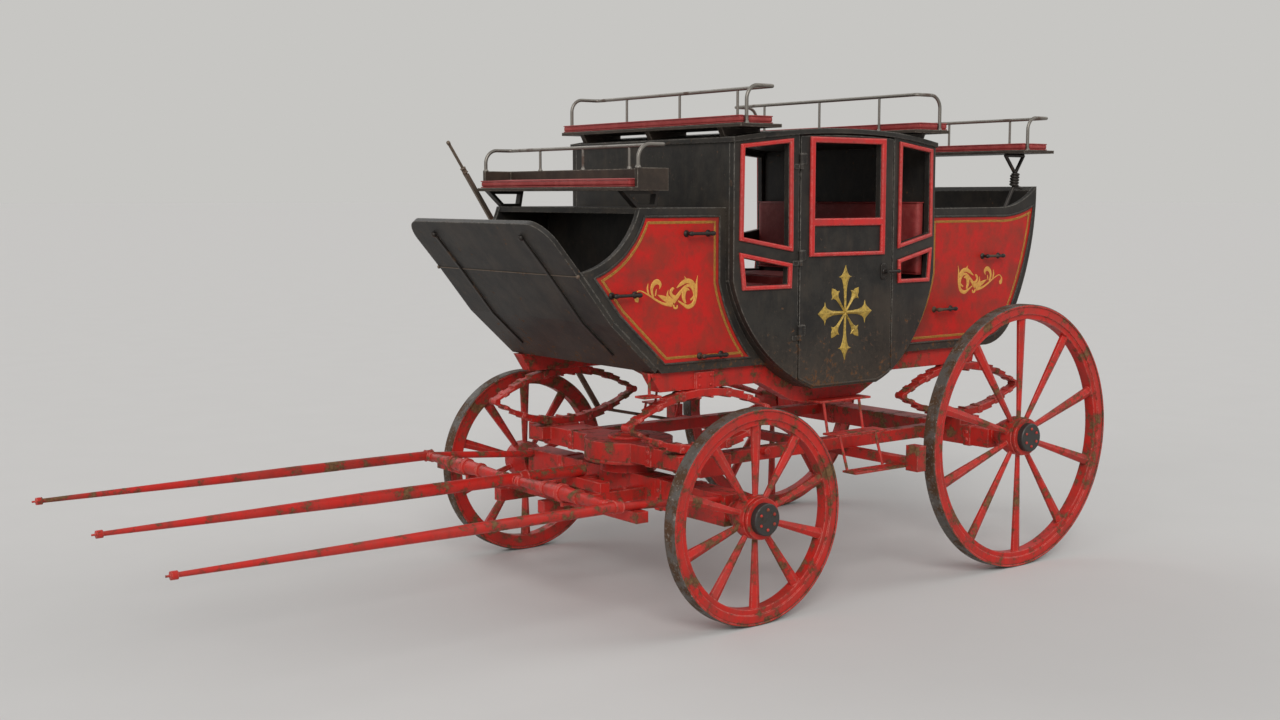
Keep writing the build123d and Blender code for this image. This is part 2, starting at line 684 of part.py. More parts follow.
def grab_handles():
    """Iron pull handles standing on the red panels of both boots."""
    root_y = BOOT_HALF_WIDTH - PANEL_RECESS + PANEL_THICK
    out_y = root_y + HANDLE_PROUD
    places = [(CABIN_FRONT + ahead, z) for ahead, z in FRONT_HANDLES] + [FOOT_HANDLE]
    places += [(CABIN_REAR - HIND_HANDLE[0], HIND_HANDLE[1]), (HIND_BOOT_TIP[0] + TIP_HANDLE[0], TIP_HANDLE[1])]
    handles = []
    for x, z in places:
        ends = (x - HANDLE_LENGTH / 2, x + HANDLE_LENGTH / 2)
        grip = rod((ends[0], out_y, z), (ends[1], out_y, z), HANDLE_R)
        for end, inward in zip(ends, (HANDLE_R, -HANDLE_R)):
            grip += rod((end + inward, root_y, z), (end + inward, out_y, z), HANDLE_R)
        handles += pair_of(grip)
    return {"grab_handles": handles}


def seat_rail(front_x, back_x, half, foot_z, top_z, post_z, post_shares):
    """Bent tube round a seat's back and ends, with thin posts at shares of its half width."""
    corners = [
        (front_x, half, foot_z),
        (front_x, half, top_z),
        (back_x, half, top_z),
        (back_x, -half, top_z),
        (front_x, -half, top_z),
        (front_x, -half, foot_z),
    ]
    bends = [RAIL_BEND, RAIL_CORNER, RAIL_CORNER, RAIL_BEND]
    path = FilletPolyline(*corners, radius=bends)
    rail = sweep(Plane(origin=corners[0], z_dir=(0, 0, 1)) * Circle(RAIL_R), path)
    for share in post_shares:
        y = share * half
        rail += rod((back_x, y, post_z), (back_x, y, top_z), RAIL_POST_R)
    return rail


def bench_seat(front_x, top_z):
    """Board, cushion and rail of one forward-facing outside seat; the rail's feet pass the cushion."""
    board = block(
        (front_x - SEAT_DEPTH, front_x), (-SEAT_HALF_WIDTH, SEAT_HALF_WIDTH), (top_z - SEAT_BOARD, top_z)
    )
    half = SEAT_HALF_WIDTH - CUSHION_INSET
    cushion_z = (top_z + SEAT_FIT, top_z + SEAT_CUSHION)
    cushion = block((front_x - SEAT_CUSHION_DEPTH, front_x), (-half, half), cushion_z)
    foot_x = front_x - RAIL_FOOT
    foot_y = SEAT_HALF_WIDTH - RAIL_INSET
    slot = RAIL_R + CUSHION_SLOT
    for side in (1, -1):
        cushion -= block(
            (foot_x - slot, foot_x + slot),
            (side * (foot_y - slot), side * SEAT_HALF_WIDTH),
            (top_z, top_z + RAIL_HEIGHT),
        )
    rail = seat_rail(
        foot_x, front_x - RAIL_BACK, foot_y, top_z, top_z + RAIL_HEIGHT, top_z, RAIL_POST_SHARES
    )
    return board, cushion, rail


def outside_seats():
    """Driver's seat, two roof seats and the hind seat, each with its supports."""
    board, cushion, rail = bench_seat(ROOF_SEAT_FRONT, ROOF_SEAT_Z)
    under = ROOF_SEAT_Z - SEAT_BOARD
    back_x = ROOF_SEAT_FRONT - SEAT_DEPTH
    prop_face = outline(
        (ROOF_SEAT_FRONT - SUPPORT_SLOPE / 2, under),
        (ROOF_SEAT_FRONT - 3 * SUPPORT_SLOPE, ROOF_Z - ROOF_CROWN),
        (back_x, ROOF_Z - ROOF_CROWN),
        (back_x, under),
    )
    for y in (-SUPPORT_Y, 0.0, SUPPORT_Y):
        prop = across(prop_face, y - SUPPORT_WIDTH / 2, y + SUPPORT_WIDTH / 2)
        board = board + (prop - BELOW_ROOF)
    hind_board, hind_cushion, hind_rail = bench_seat(HIND_SEAT_FRONT, HIND_SEAT_Z)
    nodes = {
        "front_roof_seat": board,
        "front_roof_cushion": cushion,
        "front_roof_rail": rail,
        "rear_roof_seat": end_for_end(board),
        "rear_roof_cushion": end_for_end(cushion),
        "rear_roof_rail": end_for_end(rail),
        "hind_seat": hind_board,
        "hind_cushion": hind_cushion,
        "hind_rail": hind_rail,
        "seat_brackets": pair_of(hind_bracket()) + pair_of(driver_stand()),
    }
    return nodes | driver_seat()


def hind_bracket():
    """Forked iron leg from the hind boot's top edge to the hind seat, wound with a coil at its neck."""
    y = BOOT_HALF_WIDTH - BOOT_BOARD / 2
    bar_r = HIND_BRACKET_R
    top_z = HIND_SEAT_Z - SEAT_BOARD - bar_r
    neck = (HIND_SEAT_FRONT - HIND_BRACKET_NECK[0], y, top_z - HIND_BRACKET_NECK[1])
    waist = (HIND_SEAT_FRONT - HIND_BRACKET_WAIST[0], y, top_z - HIND_BRACKET_WAIST[1])
    foot = (HIND_SEAT_FRONT, y, HIND_BOOT_TOP - BOOT_BOARD)
    arms = [HIND_SEAT_FRONT - back for back in HIND_BRACKET_ARMS]
    bracket = rod((arms[0], y, top_z), (arms[1], y, top_z), bar_r)
    for x in arms:
        bracket += rod((x, y, top_z), neck, bar_r)
    bracket += rod(neck, waist, 2 * bar_r) + rod(waist, foot, bar_r)
    hook = (waist[0] - HIND_BRACKET_HOOK[0], y, waist[2] - HIND_BRACKET_HOOK[1])
    bracket += rod(waist, hook, 0.8 * bar_r)
    return bracket - across(hind_boot_outline(), 0, REACH)


def driver_seat():
    """Low box seat on two open iron stands over the front boot's deck."""
    back_x = DRIVER_FRONT - DRIVER_DEPTH
    side_front = back_x + DRIVER_SIDE_DEPTH
    top_z = DRIVER_Z + DRIVER_SIDE_HEIGHT
    half = DRIVER_HALF_WIDTH
    seat = block((back_x, DRIVER_FRONT), (-half, half), (DRIVER_Z - SEAT_BOARD, DRIVER_Z))
    seat += block((back_x, back_x + DRIVER_BOARD), (-half, half), (DRIVER_Z, top_z))
    for side in (1, -1):
        seat += block(
            (back_x, side_front), (side * (half - DRIVER_BOARD), side * half), (DRIVER_Z, top_z)
        )
    room = half - DRIVER_BOARD - SEAT_FIT
    cushion = block(
        (back_x + DRIVER_BOARD + SEAT_FIT, DRIVER_FRONT),
        (-room, room),
        (DRIVER_Z + SEAT_FIT, DRIVER_Z + SEAT_CUSHION),
    )
    rail = seat_rail(
        side_front - RAIL_R - CUSHION_SLOT,
        back_x + DRIVER_BOARD / 2,
        half - DRIVER_BOARD / 2,
        top_z,
        top_z + DRIVER_RAIL_HEIGHT,
        top_z,
        DRIVER_POST_SHARES,
    )
    return {"driver_seat": seat, "driver_cushion": cushion, "driver_rail": rail}


def driver_stand():
    """Open iron stand between the front boot's deck and the driver's seat, on the left."""
    under = DRIVER_Z - SEAT_BOARD
    back_x = DRIVER_FRONT - DRIVER_DEPTH
    face = outline(
        (DRIVER_FRONT, under),
        (FRONT_BOOT_FRONT, FRONT_BOOT_TOP),
        (back_x + BRACKET_BAR, FRONT_BOOT_TOP),
        (back_x, under),
    )
    face = face - grown(face, -BRACKET_BAR)
    return across(face, BRACKET_Y - BRACKET_WIDTH / 2, BRACKET_Y + BRACKET_WIDTH / 2)


def sill_outline():
    """Side rail under the boots, dropped to pass under the belly."""
    front_foot = CABIN_FRONT - SILL_FOOT_IN
    rear_foot = CABIN_REAR + SILL_FOOT_IN
    slope, ease_z = SILL_SLOPE
    return outline(
        (SILL_NOSE[0], BOOT_Z),
        (SILL_NOSE[1], SILL_Z),
        (front_foot, SILL_Z),
        (front_foot - slope, SILL_DROP_Z + ease_z),
        (front_foot - SILL_EASE, SILL_DROP_Z),
        (rear_foot + SILL_EASE, SILL_DROP_Z),
        (rear_foot + slope, SILL_DROP_Z + ease_z),
        (rear_foot, SILL_Z),
        (REAR_AXLE_X - SILL_TAIL[0], SILL_Z),
        (REAR_AXLE_X - SILL_TAIL[1], BOOT_Z),
    ) - CABIN


def leaf_pack(x, half, eye_z, crown_z):
    """Side view faces of one bow: a full leaf from eye to eye, with shorter leaves on its outside."""
    way = 1 if crown_z > eye_z else -1
    rise = abs(crown_z - eye_z) - SPRING_LEAF * len(SPRING_LEAF_SHARES)
    radius = (half * half + rise * rise) / (2 * rise)
    centre_z = eye_z + way * (rise - radius)
    faces = []
    for i, share in enumerate(SPRING_LEAF_SHARES):
        angle = share * asin(half / radius)
        inner = radius + i * SPRING_LEAF
        outer = inner + SPRING_LEAF
        ends = [(r, a) for r in (inner, outer) for a in (-angle, 0.0, angle)]
        spots = [(x + r * sin(a), centre_z + way * r * cos(a)) for r, a in ends]
        faces.append(outline(spots[0], (spots[1], spots[2]), spots[5], (spots[4], spots[3])))
    return faces


def elliptic_spring(x, half, low_z, high_z):
    """Full elliptic leaf spring on the left: two bowed packs meeting in an eye at each end."""
    mid_z = (low_z + high_z) / 2
    low_y = SPRING_Y - SPRING_WIDTH / 2
    high_y = SPRING_Y + SPRING_WIDTH / 2
    spring = None
    for crown_z in (low_z, high_z):
        for face in leaf_pack(x, half, mid_z, crown_z):
            leaf = across(face, low_y, high_y)
            spring = leaf if spring is None else spring + leaf
    for side in (-1, 1):
        eye_x = x + side * half
        spring += rod((eye_x, low_y, mid_z), (eye_x, high_y, mid_z), SPRING_EYE_R)
    pack = SPRING_LEAF * len(SPRING_LEAF_SHARES)
    for z in ((low_z, low_z + pack), (high_z - pack, high_z)):
        spring += block((x - SPRING_PAD, x + SPRING_PAD), (low_y, high_y), z)
    return spring


def undercarriage():
    """Sills, springs, fixed transom with the king pin, perch beams and rear axle."""
    sill = across(sill_outline(), SILL_Y - SILL_WIDTH, SILL_Y)
    plates = []
    for x in (FRONT_SPRING_X, REAR_SPRING_X):
        plate = block(
            (x - SPRING_PAD, x + SPRING_PAD),
            (SILL_Y, SILL_Y + SILL_PLATE_THICK),
            (SILL_Z, BOOT_Z - SILL_PLATE_THICK),
        )
        plates += pair_of(plate)
    front_spring = elliptic_spring(FRONT_SPRING_X, FRONT_SPRING_HALF, TRANSOM_Z[1], SILL_Z)
    rear_spring = elliptic_spring(REAR_SPRING_X, REAR_SPRING_HALF, REAR_SPRING_LOW, SILL_Z)

    transom_x = (TRANSOM_X - TRANSOM_WIDTH / 2, TRANSOM_X + TRANSOM_WIDTH / 2)
    transom = block(transom_x, (-TRANSOM_HALF, TRANSOM_HALF), TRANSOM_Z)
    seat_out, seat_wide, seat_deep = SPRING_SEAT
    for y in (-SPRING_Y, SPRING_Y):
        transom += block(
            (transom_x[1], transom_x[1] + seat_out),
            (y - seat_wide / 2, y + seat_wide / 2),
            (TRANSOM_Z[1] - seat_deep, TRANSOM_Z[1]),
        )
    transom += rod((0, 0, TRANSOM_Z[0]), (0, 0, TRANSOM_Z[1]), TURNTABLE_R)
    transom += rod((0, 0, FRONT_BED_Z[0] + KING_PIN_R), (0, 0, TRANSOM_Z[1] + KING_PIN_R), KING_PIN_R)

    bed_x = (REAR_AXLE_X - REAR_BED_WIDTH / 2, REAR_AXLE_X + REAR_BED_WIDTH / 2)
    rear_axle = axle(REAR_AXLE_X, bed_x, REAR_BED_Z, REAR_WHEEL_R)
    for y in (-SPRING_Y, SPRING_Y):
        rear_axle += block(
            bed_x, (y - seat_wide / 2, y + seat_wide / 2), (REAR_BED_Z[1], REAR_SPRING_LOW)
        )
    beam = across(perch_outline(), PERCH_Y - PERCH_WIDTH / 2, PERCH_Y + PERCH_WIDTH / 2)
    return {
        "body_sills": pair_of(sill) + plates,
        "springs": pair_of(front_spring) + pair_of(rear_spring),
        "transom": transom,
        "perch_beams": pair_of(beam),
        "rear_axle": rear_axle,
    }


def perch_outline():
    """Long beam from the rear axle bed to the foot of the transom."""
    (rear_x, rear_z), (front_x, front_z) = PERCH_FOOT
    return outline(
        *PERCH_FOOT, (front_x, front_z + PERCH_DEPTH), (rear_x, rear_z + PERCH_DEPTH)
    )


def axle(x, bed_x, bed_z, centre_z):
    """Timber axle bed with an iron arm and a thrust collar at each end."""
    bed = block(bed_x, (-BED_HALF, BED_HALF), bed_z)
    tip = WHEEL_Y + NAVE_OUTER
    collar = WHEEL_Y - NAVE_INNER - RUNNING_FIT * 100
    for side in (1, -1):
        bed += rod((x, side * BED_HALF, centre_z), (x, side * tip, centre_z), AXLE_R)
        bed += rod((x, side * BED_HALF, centre_z), (x, side * collar, centre_z), AXLE_COLLAR_R)
    return bed


def steps():
    """Hanging iron steps below each door and a small mounting step at the left sill's front end."""
    flight = None
    rods_x = (STEP_X[0] + 3 * STEP_ROD_IN, STEP_X[1] - STEP_ROD_IN)
    previous = None
    for reach, depth, top in zip(TREAD_OUTER_EDGES, TREAD_DEPTHS, TREAD_TOPS):
        outer = SILL_Y + reach
        inner = max(outer - depth, SILL_Y)
        tread = block(STEP_X, (inner, outer), (top - STEP_THICK, top))
        flight = tread if flight is None else flight + tread
        if previous is not None:
            for x in rods_x:
                flight += rod(
                    (x, previous[0] - STEP_ROD_R, previous[1] - STEP_THICK / 2),
                    (x, inner + STEP_ROD_R, top - STEP_THICK / 2),
                    STEP_ROD_R,
                )
        previous = (outer, top)
    sill = across(sill_outline(), 0, REACH)
    flight -= across(sill_outline(), SILL_Y - SILL_WIDTH, SILL_Y)
    low = MOUNTING_STEP_Z - STEP_THICK
    inner = SILL_Y - MOUNTING_STEP_IN
    mounting = block(MOUNTING_STEP_X, (inner, SILL_Y + MOUNTING_STEP_OUT), (low, MOUNTING_STEP_Z))
    post_x = MOUNTING_STEP_X[0] + STEP_ROD_IN
    post_y = inner + 2 * STEP_ROD_R
    mounting += rod((post_x, post_y, low), (post_x, post_y, BOOT_Z), STEP_ROD_R) - sill
    return {"steps": pair_of(flight) + [mounting]}


def brake():
    """Hand lever on the right side, its rod, and the beam that presses blocks on the rear tyres."""
    side_y = -DRIVER_HALF_WIDTH - LEVER_CLEAR
    lean = (LEVER_TOP[0] - LEVER_FOOT[0]) / (LEVER_TOP[1] - LEVER_FOOT[1])
    pivot = (LEVER_FOOT[0] + lean * (LEVER_PIVOT_Z - LEVER_FOOT[1]), LEVER_PIVOT_Z)
    half = LEVER_WIDTH / 2
    knee_x = LEVER_FOOT[0] + lean * (LEVER_KNEE_Z - LEVER_FOOT[1])
    bar_face = outline(
        (LEVER_FOOT[0] - half, LEVER_FOOT[1]),
        (LEVER_FOOT[0] + half, LEVER_FOOT[1]),
        (knee_x + 0.8 * half, LEVER_KNEE_Z),
        (knee_x - 0.8 * half, LEVER_KNEE_Z),
    )
    lever = across(bar_face, side_y - LEVER_THICK, side_y)
    grip_y = side_y - LEVER_THICK / 2
    lever += rod(
        (knee_x - lean * half, grip_y, LEVER_KNEE_Z - half), (LEVER_TOP[0], grip_y, LEVER_TOP[1]), LEVER_GRIP_R
    )
    panel_y = -BOOT_HALF_WIDTH + PANEL_RECESS - PANEL_THICK
    lever += rod((pivot[0], side_y, pivot[1]), (pivot[0], panel_y, pivot[1]), half)
    rod_y = side_y - LEVER_THICK / 2
    beam_x = (BRAKE_BEAM_X - BRAKE_BEAM_SIZE / 2, BRAKE_BEAM_X + BRAKE_BEAM_SIZE / 2)
    beam_top = min(at_x(PERCH_FOOT, x)[1] for x in beam_x)
    block_z = beam_top + BRAKE_BLOCK_UP
    beam_half = WHEEL_Y - BRAKE_BLOCK[1] / 2
    beam = block(beam_x, (-beam_half, beam_half), (beam_top - BRAKE_BEAM_SIZE, beam_top))
    for side in (1, -1):
        beam += block(
            (BRAKE_BEAM_X - BRAKE_BLOCK[0] / 2, BRAKE_BEAM_X + BRAKE_BLOCK[0] / 2),
            (side * beam_half, side * (beam_half + BRAKE_BLOCK[1])),
            (block_z - BRAKE_BLOCK[2] / 2, block_z + BRAKE_BLOCK[2] / 2),
        )
    link = rod(
        (LEVER_FOOT[0], rod_y, LEVER_FOOT[1]),
        (beam_x[1], rod_y, beam_top - BRAKE_BEAM_SIZE / 2),
        BRAKE_ROD_R,
    )
    return {"brake_lever": lever + (link - beam), "brake_beam": beam}


def spoke(inner_r, outer_r):
    """Upright spoke with a ridge on each face, widening to the rim."""
    sections = []
    for r, width, depth in zip((inner_r, outer_r), SPOKE_WIDTHS, SPOKE_DEPTHS):
        corners = [(1, 0.4), (0, 1), (-1, 0.4), (-1, -0.4), (0, -1), (1, -0.4)]
        points = [(width / 2 * u, depth / 2 * v) for u, v in corners]
        sections.append(Plane.XY.offset(r) * outline(*points))
    return loft(sections, ruled=True)


def ring(profile):
    """Round piece about the wheel's axis from a half section of (radius, distance outboard)."""
    return revolve(outline(*profile), Axis.Y)


def wheel(radius):
    """Wooden wheel about the origin, outboard along +Y: wheel, iron tyre and hub cap."""
    rim = radius - TYRE_THICK - SEAT_FIT
    inner = rim - FELLOE_DEPTH
    face = FELLOE_WIDTH / 2
    felloe = ring(
        (
            (inner, -face),
            (rim, -face),
            (rim, face),
            (rim - FELLOE_LIP, face),
            (rim - FELLOE_LIP, face - FELLOE_STEP),
            (inner, face - FELLOE_STEP),
        )
    )
    bore = AXLE_R + RUNNING_FIT
    body = felloe + ring(
        (
            (bore, -NAVE_INNER),
            (NAVE_NECK_R, -NAVE_INNER),
            (NAVE_R, -NAVE_BAND),
            (NAVE_R, NAVE_BAND),
            (COLLAR_R - FELLOE_STEP, NAVE_BAND),
            (COLLAR_R - FELLOE_STEP, NAVE_OUTER - COLLAR_LENGTH),
            (COLLAR_R, NAVE_OUTER - COLLAR_LENGTH),
            (COLLAR_R, NAVE_OUTER),
            (bore, NAVE_OUTER),
        )
    )
    arm = spoke((bore + NAVE_R) / 2, inner + FELLOE_DEPTH / 4)
    for i in range(SPOKE_COUNT):
        body += Rot(0, i * 360 / SPOKE_COUNT, 0) * arm
    half = TYRE_WIDTH / 2
    bevel = TYRE_THICK / 3
    tyre = ring(
        (
            (radius - TYRE_THICK, -half),
            (radius - bevel, -half),
            (radius, bevel - half),
            (radius, half - bevel),
            (radius - bevel, half),
            (radius - TYRE_THICK, half),
        )
    )
    cap = ring(
        (
            (0, NAVE_OUTER + SEAT_FIT),
            (CAP_R, NAVE_OUTER + SEAT_FIT),
            (CAP_R, NAVE_OUTER + CAP_LENGTH - bevel),
            (CAP_R - bevel, NAVE_OUTER + CAP_LENGTH),
            (0, NAVE_OUTER + CAP_LENGTH),
        )
    )
    return {"": body, "_tyre": tyre, "_cap": cap}


def wheels():
    """Four wheels, each with its tyre and hub cap."""
    nodes = {}
    for end, x, radius in (("front", 0.0, FRONT_WHEEL_R), ("rear", REAR_AXLE_X, REAR_WHEEL_R)):
        for part, solid in wheel(radius).items():
            placed = Pos(x, WHEEL_Y, radius) * solid
            nodes[f"wheel_{end}_left{part}"] = placed
            nodes[f"wheel_{end}_right{part}"] = mirrored(placed)
    return nodes


def tapered_pole(root_x, y, root_r):
    """Round pole drawn out to a thin neck, with an end collar and a pin in its tip."""
    tip_x = POLE_TIP_X - TIP_PIN_LENGTH
    collar_x = tip_x - POLE_TIP_LENGTH
    taper_x = collar_x - POLE_TAPER
    pole = rod((root_x, y, POLE_Z), (taper_x, y, POLE_Z), root_r)
    pole += rod((taper_x, y, POLE_Z), (collar_x, y, POLE_Z), root_r, POLE_NECK_R)
    pole += rod((collar_x, y, POLE_Z), (tip_x, y, POLE_Z), POLE_TIP_R)
    return pole + rod((tip_x, y, POLE_Z), (POLE_TIP_X, y, POLE_Z), TIP_PIN_R)


def forecarriage():
    """Steered front axle, turntable plate, futchells, splinter bar, swingletrees, pole and shafts."""
    bed_x = (-FRONT_BED_WIDTH / 2, FRONT_BED_WIDTH / 2)
    king = rod((0, 0, 0), (0, 0, TRANSOM_Z[1]), KING_PIN_R + RUNNING_FIT)
    front_axle = axle(0.0, bed_x, FRONT_BED_Z, FRONT_WHEEL_R) - king
    plate_top = TRANSOM_Z[0] - TURNTABLE_GAP
    plate = rod((0, 0, plate_top - TURNTABLE_PLATE), (0, 0, plate_top), TURNTABLE_R)
    plate += rod((0, 0, FRONT_BED_Z[1]), (0, 0, plate_top), TURNTABLE_NECK_R)
    front_axle += plate - king
    futchells = None
    for side in (1, -1):
        low_y = side * FUTCHELL_Y - FUTCHELL_WIDTH / 2
        beam = block((bed_x[1], FUTCHELL_FRONT), (low_y, low_y + FUTCHELL_WIDTH), FUTCHELL_Z)
        futchells = beam if futchells is None else futchells + beam
    cross_x = TURNTABLE_R + FUTCHELL_WIDTH
    futchells += block(
        (cross_x, cross_x + FUTCHELL_WIDTH),
        (-FUTCHELL_Y - FUTCHELL_WIDTH / 2, FUTCHELL_Y + FUTCHELL_WIDTH / 2),
        (FUTCHELL_Z[1], SPLINTER_TOP),
    )
    splinter = block(SPLINTER_X, (-SPLINTER_HALF, SPLINTER_HALF), (FUTCHELL_Z[1], SPLINTER_TOP))

    y_in, y_out = SWINGLETREE_Y
    y_mid = (y_in + y_out) / 2
    thin, thick = SWINGLETREE_R
    tree = rod((SWINGLETREE_X, y_in, POLE_Z), (SWINGLETREE_X, y_mid, POLE_Z), thin, thick)
    tree += rod((SWINGLETREE_X, y_mid, POLE_Z), (SWINGLETREE_X, y_out, POLE_Z), thick, thin)
    bolt_z = (FUTCHELL_Z[1] + SPLINTER_TOP) / 2
    tree += rod((SPLINTER_X[1], y_mid, bolt_z), (SWINGLETREE_X, y_mid, bolt_z), thin / 2)
    tree += rod((SWINGLETREE_X, y_mid, bolt_z - thin / 2), (SWINGLETREE_X, y_mid, POLE_Z), thin / 2)

    pole = tapered_pole(cross_x, 0.0, POLE_Z - SPLINTER_TOP)
    shaft = tapered_pole(SHAFT_ROOT_X, SHAFT_Y, SHAFT_ROOT_R)
    stay_end = (bed_x[0], BED_HALF - 3 * STAY_R, FRONT_BED_Z[1] - 2 * STAY_R)
    stay = rod((SHAFT_ROOT_X + STAY_R, SHAFT_Y, POLE_Z), stay_end, STAY_R)
    shaft += stay - block(bed_x, (0, REACH), (0, REACH)) - block((-REACH, 0), (0, REACH), (0, REACH))
    return {
        "front_axle": front_axle,
        "futchells": futchells + splinter,
        "swingletrees": pair_of(tree),
        "pole": pole,
        "shafts": pair_of(shaft),
    }


def main():
    os.makedirs("parts", exist_ok=True)
    groups = (
        cabin, benches, doors, boots, grab_handles, outside_seats,
        undercarriage, steps, brake, forecarriage, wheels,
    )
    for group in groups:
        for name, pieces in group().items():
            pieces = pieces if isinstance(pieces, list) else [pieces]
            solids = [solid for piece in pieces for solid in piece.solids()]
            placed = [Pos(-ORIGIN_X, 0, 0) * solid for solid in solids]
            export_step(Compound(children=placed), f"parts/{name}.step")


if __name__ == "__main__":
    main()
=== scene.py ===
import json
import math
from functools import partial

import bmesh
import bpy
from mathutils import Matrix, Vector


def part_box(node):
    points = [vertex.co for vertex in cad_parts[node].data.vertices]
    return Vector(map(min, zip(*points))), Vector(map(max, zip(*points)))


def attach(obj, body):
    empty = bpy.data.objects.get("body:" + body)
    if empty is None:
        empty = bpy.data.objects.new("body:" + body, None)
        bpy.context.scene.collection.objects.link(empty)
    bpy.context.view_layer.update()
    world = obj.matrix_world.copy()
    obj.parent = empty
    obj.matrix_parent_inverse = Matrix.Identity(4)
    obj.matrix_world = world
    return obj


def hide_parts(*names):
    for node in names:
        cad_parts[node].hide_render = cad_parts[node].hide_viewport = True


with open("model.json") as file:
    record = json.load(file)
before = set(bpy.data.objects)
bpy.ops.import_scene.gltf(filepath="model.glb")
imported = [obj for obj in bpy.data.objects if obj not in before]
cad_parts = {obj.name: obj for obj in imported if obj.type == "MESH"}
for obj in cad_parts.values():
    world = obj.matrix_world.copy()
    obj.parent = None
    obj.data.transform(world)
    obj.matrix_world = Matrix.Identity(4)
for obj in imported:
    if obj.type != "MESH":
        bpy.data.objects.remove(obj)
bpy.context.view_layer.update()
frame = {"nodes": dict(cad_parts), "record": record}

# An old road coach in a plain studio. Places along the coach are given from the front axle, as the
# joiner would measure them, in millimetres; FRONT_AXLE is where that lies in the part's own frame.

FRONT_AXLE = -0.0575
BOOT_FACE = 549.0
DOOR_FACE = 650.0
X, Z = Vector((1, 0, 0)), Vector((0, 0, 1))
# Which way is outward on the left side, 1, and on the right side, -1
OUT = {1: Vector((0, 1, 0)), -1: Vector((0, -1, 0))}
SIDES = ((1, "left"), (-1, "right"))


def point(x, y, z):
    """A place in millimetres from the front axle, as a point of the part's frame in metres."""
    return Vector((x / 1000 + FRONT_AXLE, y / 1000, z / 1000))


def linear(hex_colour):
    """Linear colour from an sRGB hex value."""
    parts = [int(hex_colour[i:i + 2], 16) / 255 for i in (1, 3, 5)]
    return [c / 12.92 if c <= 0.04045 else ((c + 0.055) / 1.055) ** 2.4 for c in parts] + [1.0]


def per_metre(size_mm):
    """Pattern scale whose features are about this many millimetres across."""
    return 1000.0 / size_mm


# Materials

def add(tree, kind, *values, **named):
    """Adds one shader node with its settings and links.

    Values go to its open sockets in their order, such as a noise's place, scale, detail and roughness,
    or a map's value, two bounds from and two bounds to. A name with a capital is a socket too, and any
    other name is a setting. A node given as a value stands for its first open output.
    """
    made = tree.nodes.new("ShaderNode" + kind)
    inputs = []
    for name, value in named.items():
        if name[0].isupper():
            inputs.append((made.inputs[name.replace("_", " ")], value))
        else:
            setattr(made, name, value)
    inputs += zip((socket for socket in made.inputs if socket.enabled), values)
    for socket, value in inputs:
        if isinstance(value, bpy.types.Node):
            value = next(out for out in value.outputs if out.enabled)
        if isinstance(value, bpy.types.NodeSocket):
            tree.links.new(value, socket)
        else:
            socket.default_value = value
    return made


def new_finish(name, surface, *colours, **look):
    """Node material whose shader takes what a surface function draws in the object's own metres."""
    finish = bpy.data.materials.new(name)
    finish.use_nodes = True
    finish.node_tree.nodes.clear()
    node = partial(add, finish.node_tree)
    place = node("TexCoord").outputs["Object"]
    node("OutputMaterial", node("BsdfPrincipled", **surface(node, place, *colours, **look)))
    return finish


